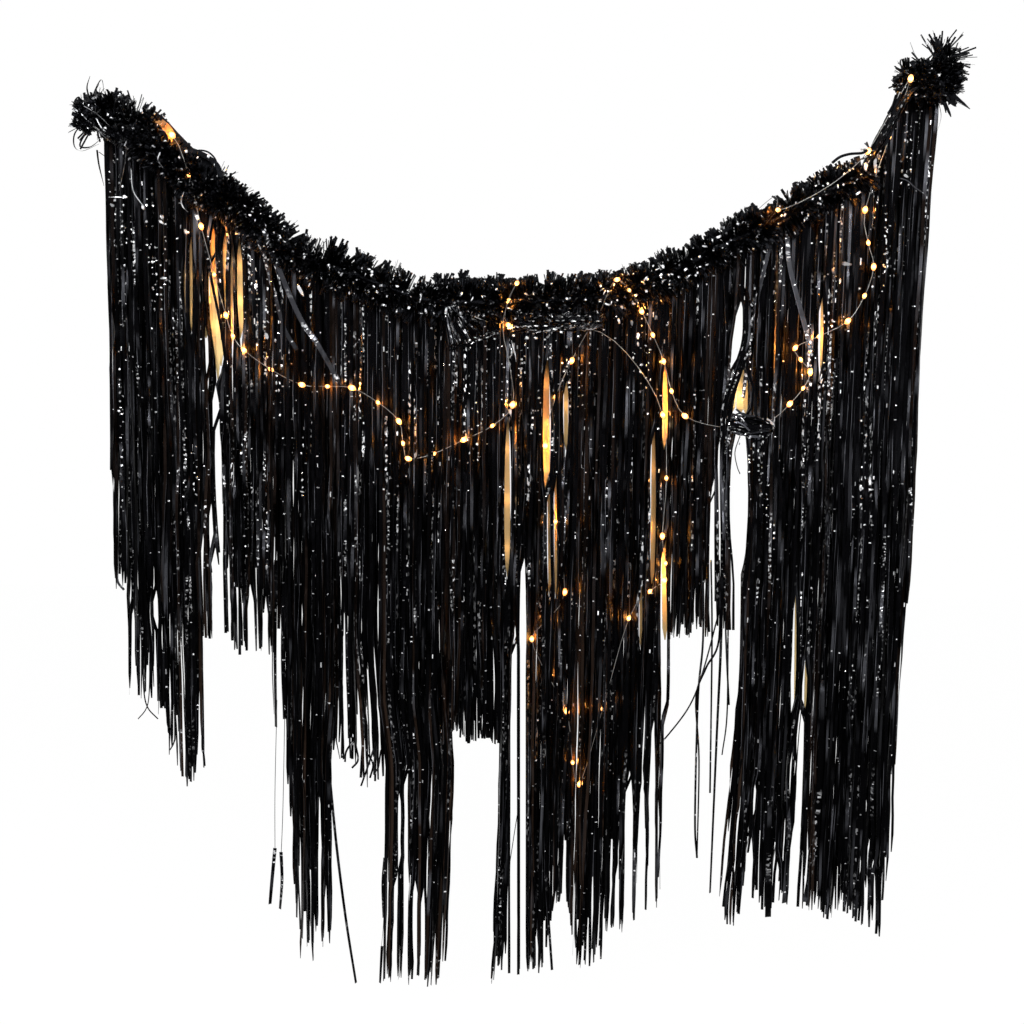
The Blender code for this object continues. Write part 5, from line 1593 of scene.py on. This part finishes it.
def make_left_tuft():
    """The garland's bunched left end, and what hides the light wire's end in it."""
    draw = np.random.default_rng(43)
    strips = bunch(draw, left_anchors, count=230, reach=0.020)
    for marks, y, width in left_curls:
        strips.append(curl(draw, marks, y, width))
    for marks, y, width, bare in left_bright_curls:
        strips.append(curl(draw, marks, y, width)._replace(crimp=bare))
    strips += spikes_to(draw, left_top_tips, seen(134, 116, 0.002))
    strips += spikes_to(draw, left_side_tips, seen(96, 116, -0.004))
    strips += cover_wire(draw, low=0.0, high=0.17, count=150, reach=0.041)
    lit, bend, end = [np.array(place) for place, _ in route[-3:]]
    strips += veil(draw, bend, lit * 0.62 + bend * 0.38, count=80, reach=0.010)
    strips += veil(draw, end, end * 0.7 + bend * 0.3, count=40, reach=0.011)
    strips += spikes_to(draw, beside_left_tips, seen(218, 186, 0.004))
    for marks, y, width in left_bands:
        strips.append(flat_band(draw, marks, y, width))
    for u, v in left_bright_ends:
        strips.append(bright_end(draw, u, v))
    piece_of("left_bunched_tuft", strips, tinsel, "garland", ["left_end_tuft"])
    glow = []
    for marks, y, width in left_turned_bands:
        glow.append(flat_band(draw, marks, y, width)._replace(shade=0.0))
    piece_of("turned_tuft_film", glow, reverse, "garland")


# Right tuft. Middles of its clumps: u, v and depth in metres
right_anchors = np.array([seen(u, v, y) for u, v, y in (
    (913, 80, 0.0), (922, 72, 0.006), (930, 84, -0.004), (938, 66, -0.006), (910, 88, 0.0),
    (950, 76, 0.004), (950, 88, 0.0), (936, 92, -0.004), (922, 94, 0.006))])
# The spikes of its top stand round here, between these two directions in degrees
right_top = seen(940, 60)
right_top_spikes = 75
right_top_spread = (-12, 128)
# Clumps that stick out at its sides: u and v of their middle, direction in degrees, bristles
right_clumps = (
    ((897, 68), 150, 9), ((901, 62), 120, 7), ((895, 80), 190, 8), ((962, 68), 20, 8),
    ((964, 79), -8, 8), ((905, 60), 100, 6),
)
# Tips of spikes: all round its top, at its upper left, and at both sides
right_top_tips = (
    (920, 30), (935, 29), (937, 30), (942, 29), (930, 36), (926, 39), (923, 45), (964, 33),
    (966, 35), (975, 46), (974, 49), (972, 55), (976, 60), (973, 65), (969, 63), (968, 68),
    (926, 50), (947, 38), (951, 41), (958, 44),
)
right_left_tips = ((911, 40), (908, 52), (914, 55), (910, 58))
right_side_tips = ((896, 62), (893, 70), (891, 80), (889, 88), (967, 80))
# Loose curled strips: places of the picture, depth and width in metres
right_curls = (
    (((936, 82), (947, 93), (956, 101), (968, 108)), -0.004, 0.0060),
    (((950, 90), (962, 102), (969, 108)), -0.005, 0.0030),
    (((938, 100), (941, 118), (934, 140)), 0.002, 0.0020),
    (((894, 66), (900, 70), (906, 72)), -0.008, 0.0050),
)
# The loose flap at its lower right: one wide strip and narrower ones on it
flap_marks = ((938, 82), (944, 91), (950, 99), (956, 105))
flap_width = 0.018
flap_strips = (
    ((934, 88), (942, 98), (949, 112), (951, 117)), ((940, 86), (950, 94), (958, 100), (970, 109)),
    ((938, 92), (944, 103), (946, 113)), ((946, 90), (953, 97), (956, 107)),
)
flap_strip_width = 0.0085


def make_right_tuft():
    """The garland's bunched right end, with its tall spikes and a loose flap of film."""
    draw = np.random.default_rng(44)
    strips = bunch(draw, right_anchors, count=210, reach=0.0165, spread=0.22)
    for _ in range(right_top_spikes):
        turn = math.radians(draw.uniform(*right_top_spread))
        out = unit(np.array([math.cos(turn), draw.normal(0, 0.35), math.sin(turn)]))
        start = right_top + draw.normal(0, 0.005, 3) - out * 0.004
        strips.append(bristle(draw, start, out, draw.uniform(0.020, 0.036),
                              draw.uniform(0.0018, 0.0032)))
    for place, degrees, count in right_clumps:
        turn = math.radians(degrees)
        out = np.array([math.cos(turn), 0, math.sin(turn)])
        beside = np.array([out[2], 0, -out[0]])
        root = seen(*place) - out * 0.012
        strips += clump(draw, root, out, reach=0.0150, spread=0.10, count=count, run=beside)
    strips += spikes_to(draw, right_top_tips, right_top)
    strips += spikes_to(draw, right_left_tips, seen(920, 66))
    strips += spikes_to(draw, right_side_tips, seen(912, 78))
    for marks, y, width in right_curls:
        strips.append(curl(draw, marks, y, width))
    strips.append(narrowed(flat_band(draw, flap_marks, -0.007, flap_width), flap_width, 0.35))
    for marks in flap_strips:
        strip = flat_band(draw, marks, -0.006, flap_strip_width)
        strips.append(narrowed(strip, flap_strip_width, 0.15))
    piece_of("right_bunched_tuft", strips, tinsel, "garland",
             ["right_end_tuft"])


# Neck

neck_steps = 26
neck_loose_strips = 26
# The first of these lie close to the neck, the others in front of the light wire there
neck_close_strips = 11
# Dark film bound round the neck's ends, and tips of spikes at its lower end
neck_bands = (
    ((898, 92), (894, 104), (891, 112)), ((896, 95), (893, 105), (888, 114)),
    ((893, 128), (889, 138), (884, 147)), ((891, 127), (887, 138), (885, 146)),
    ((901, 93), (896, 105), (893, 114)),
    ((832, 163), (840, 157), (850, 154), (862, 153), (868, 150)),
)
neck_tips = ((861, 148), (858, 152), (860, 157), (864, 144), (868, 141), (857, 160), (863, 161))


def make_neck():
    """The bare stretch of the garland: its film drawn thin and bound in with the wires."""
    draw = np.random.default_rng(47)
    line = even_line(neck_line, neck_steps)
    strips = wound_core(draw, line, count=14, radius=0.0045, width=0.0026)
    bulge = np.sin(np.linspace(0, np.pi, neck_steps))
    forward = np.sin(np.linspace(0.35, np.pi - 0.2, neck_steps)) ** 0.5
    for index in range(neck_loose_strips):
        loose = line + draw.normal(0, 0.003, 3) * bulge[:, None]
        loose[:, 1] -= 0.0045
        if index >= neck_close_strips:
            loose[:, 1] -= 0.028 * forward
        across = np.tile(draw.normal(0, 1, 3), (len(line), 1))
        strips.append(make_strip(draw, loose, across, 0.0018, film_thickness, draw.random()))
    for marks in neck_bands:
        strips.append(flat_band(draw, marks, -0.037, 0.0034))
    strips += spikes_to(draw, neck_tips, seen(873, 153, -0.012))
    piece_of("bound_neck", strips, tinsel, "garland", ["garland_neck"])


# Light wire and LEDs

drop_radius = 0.0029
drop_stretch = 1.6
# Drops that lie between two of the route's LEDs are smaller, and their lamps fainter
between_size = 0.75
led_power = 0.65
between_power = 0.13
led_tint = "#ff9d3c"
led_radius = 0.004
# No light comes from between the LEDs of the neck, where the photograph shows none
neck_stretch = (0.94, 0.99)
neck_foot = -0.04


def make_light_wire():
    """The wire as a cord along its route, with the LEDs' drops on it."""
    line = smooth_line([place for place, _ in route], 2)
    data = bpy.data.curves.new("micro_light_wire", "CURVE")
    data.dimensions = "3D"
    data.bevel_depth = wire_diameter / 2
    data.bevel_resolution = 2
    data.use_fill_caps = True
    spline = data.splines.new("POLY")
    fine = smooth_line(list(line), 3)
    spline.points.add(len(fine) - 1)
    for point, place in zip(spline.points, fine):
        point.co = (*place, 1)
    made = put("micro_light_wire", data, wire_metal)
    drops = make_led_drops(line)
    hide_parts("light_wire")
    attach(made, "garland")


def unit_ball(sides, steps):
    """Corners of a ball, ring by ring with its poles last, and its faces."""
    fall = np.arange(1, steps) * math.pi / steps
    turn = (np.arange(sides) + 0.5) * 2 * math.pi / sides
    rings = np.stack([np.outer(np.sin(fall), np.cos(turn)), np.outer(np.sin(fall), np.sin(turn)),
                      np.outer(np.cos(fall), np.ones(sides))], axis=2).reshape(-1, 3)
    top, foot, last = len(rings), len(rings) + 1, len(rings) - sides
    faces = []
    for side in range(sides):
        beside = (side + 1) % sides
        faces += [(top, side, beside), (foot, last + beside, last + side)]
        for upper in range(0, last, sides):
            lower = upper + sides
            faces.append((upper + side, lower + side, lower + beside, upper + beside))
    return np.concatenate([rings, [(0, 0, 1), (0, 0, -1)]]), faces


def make_led_drops(line):
    """The resin drops, each drawn out along the wire and not quite alike, and their light."""
    draw = np.random.default_rng(53)
    lit = [flag for _, flag in route]
    ball, ball_faces = unit_ball(sides=10, steps=9)
    heat = np.maximum(0.0, 1 - 1.25 * np.abs(ball[:, 2]))
    corners, faces = [], []
    for index, place in enumerate(line):
        stop = index // 2
        on_route = index % 2 == 0 and lit[stop]
        between = index % 2 == 1 and lit[stop] and lit[stop + 1]
        if not (on_route or between):
            continue
        run = Vector(line[min(index + 1, len(line) - 1)] - line[index - 1]).normalized()
        size = drop_radius * draw.uniform(0.85, 1.1) * (1.0 if on_route else between_size)
        turn = np.array(run.to_track_quat("Z", "Y").to_matrix())
        first = len(ball) * len(corners)
        faces += [[first + corner for corner in face] for face in ball_faces]
        corners.append(ball * (size, size, size * drop_stretch) @ turn.T + place)
        in_neck = neck_stretch[0] < place[0] < neck_stretch[1] and place[2] >= neck_foot
        if on_route:
            point_lamp("led_light", place, led_power, led_tint, led_radius)
        elif not in_neck:
            point_lamp("led_light", place, between_power, led_tint, led_radius)
    data = bpy.data.meshes.new("led_drops")
    data.from_pydata(np.concatenate(corners).tolist(), [], faces)
    data.polygons.foreach_set("use_smooth", np.ones(len(data.polygons), bool))
    layer = data.attributes.new("shade", "FLOAT", "POINT").data
    layer.foreach_set("value", np.tile(heat, len(corners)))
    data.update()
    made = put("led_drops", data, resin)
    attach(made, "garland")
    return made


# Studio

floor_height = -1.150
# The camera sees the floor as white, but for this share of its shadow
shadow_share = 0.025
floor_white = 1.008
# The surroundings are dimmer as light than as what the camera and mirrors see
dim_surroundings = 0.5
curtain_middle = (0.53, 0, -0.5)
# Softboxes: name, place, size in metres and power in watts
softboxes = (
    ("key", (-0.9, -2.2, 1.2), (0.9, 1.2), 24), ("fill", (2.2, -2.0, 0.5), (1.0, 1.4), 16),
)
# Small bright lamps that the creases of the film mirror
glint_size = (0.10, 0.16)
glint_power = 5
glint_places = (
    (0.1, -2.6, 0.7), (1.4, -2.4, 0.1), (0.6, -1.8, 1.5), (-0.6, -1.9, -0.3),
    (1.9, -1.6, -0.6), (0.5, -2.7, -0.2), (1.0, -2.2, 0.9), (-0.2, -2.0, 0.9),
)


def seen_directly(tree):
    """One for rays of the camera, of mirrors and through clear things, and else zero."""
    rays = add(tree, "ShaderNodeLightPath")
    direct = add(tree, "ShaderNodeMath", {0: rays["Is Camera Ray"], 1: rays["Is Glossy Ray"]},
                 operation="MAXIMUM")[0]
    return add(tree, "ShaderNodeMath", {0: direct, 1: rays["Is Transmission Ray"]},
               operation="MAXIMUM")[0]


def make_floor():
    """A pale floor that the camera sees as white, with the curtain's shadow left on it."""
    made, tree, shader = material("pale_floor")
    shader.inputs["Base Color"].default_value = colour("#f4f4f4")
    shader.inputs["Roughness"].default_value = 0.9
    amount = add(tree, "ShaderNodeMath", {0: seen_directly(tree), 1: 1 - shadow_share},
                 operation="MULTIPLY")[0]
    white = add(tree, "ShaderNodeEmission", {"Color": (1, 1, 1, 1), "Strength": floor_white})
    mixed = add(tree, "ShaderNodeMixShader", {0: amount, 1: shader.outputs[0], 2: white[0]})
    tree.links.new(mixed[0], tree.nodes["Material Output"].inputs["Surface"])
    form = bmesh.new()
    bmesh.ops.create_grid(form, x_segments=1, y_segments=1, size=3.0)
    data = bpy.data.meshes.new("floor")
    form.to_mesh(data)
    form.free()
    floor = put("floor", data, made)
    floor.location = (0.53, 0, floor_height)


def make_world():
    """White surroundings, full to the camera and in mirrors."""
    world = bpy.data.worlds.new("studio")
    world.use_nodes = True
    scene.world = world
    tree = world.node_tree
    strength = add(tree, "ShaderNodeMapRange", {"Value": seen_directly(tree),
                   "To Min": dim_surroundings, "To Max": 1.0})[0]
    back = tree.nodes["Background"]
    back.inputs["Color"].default_value = (1, 1, 1, 1)
    tree.links.new(strength, back.inputs["Strength"])


def area_light(name, place, size, power):
    """A softbox that faces the middle of the curtain, with its power in watts."""
    data = bpy.data.lights.new(name, "AREA")
    data.shape = "RECTANGLE"
    data.size, data.size_y = size
    data.energy = power
    made = put(name, data)
    made.location = place
    way = Vector(curtain_middle) - Vector(place)
    made.rotation_euler = way.to_track_quat("-Z", "Y").to_euler()


def make_lights():
    """The softboxes and the small lamps."""
    for name, place, size, power in softboxes:
        area_light(name, place, size, power)
    for number, place in enumerate(glint_places):
        area_light(f"glint_{number}", place, glint_size, glint_power)


def dress_case():
    """Better finishes for the small hard pieces, whose CAD shapes are right as they are."""
    finishes = {
        "battery_case": case_abs, "battery_cover": case_abs, "wire_grommet": case_abs,
        "switch_slider": switch_abs, "aa_cell_1": cell_sleeve, "aa_cell_2": cell_sleeve,
        "contact_spring_1": nickel, "contact_spring_2": nickel, "contact_bridge": nickel,
        "contact_plate_1": nickel, "contact_plate_2": nickel, "case_tie": twine,
        "hanging_loop_left": twine, "hanging_loop_right": twine, "tail_led": resin,
    }
    for name, finish in finishes.items():
        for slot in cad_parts[name].material_slots:
            slot.material = finish


make_camera()
make_light_wire()
make_fringe()
light_between_layers()
make_headers()
make_knot()
make_garland()
make_left_tuft()
make_right_tuft()
make_neck()
dress_case()
make_floor()
make_world()
make_lights()
scene.view_settings.view_transform = "Standard"
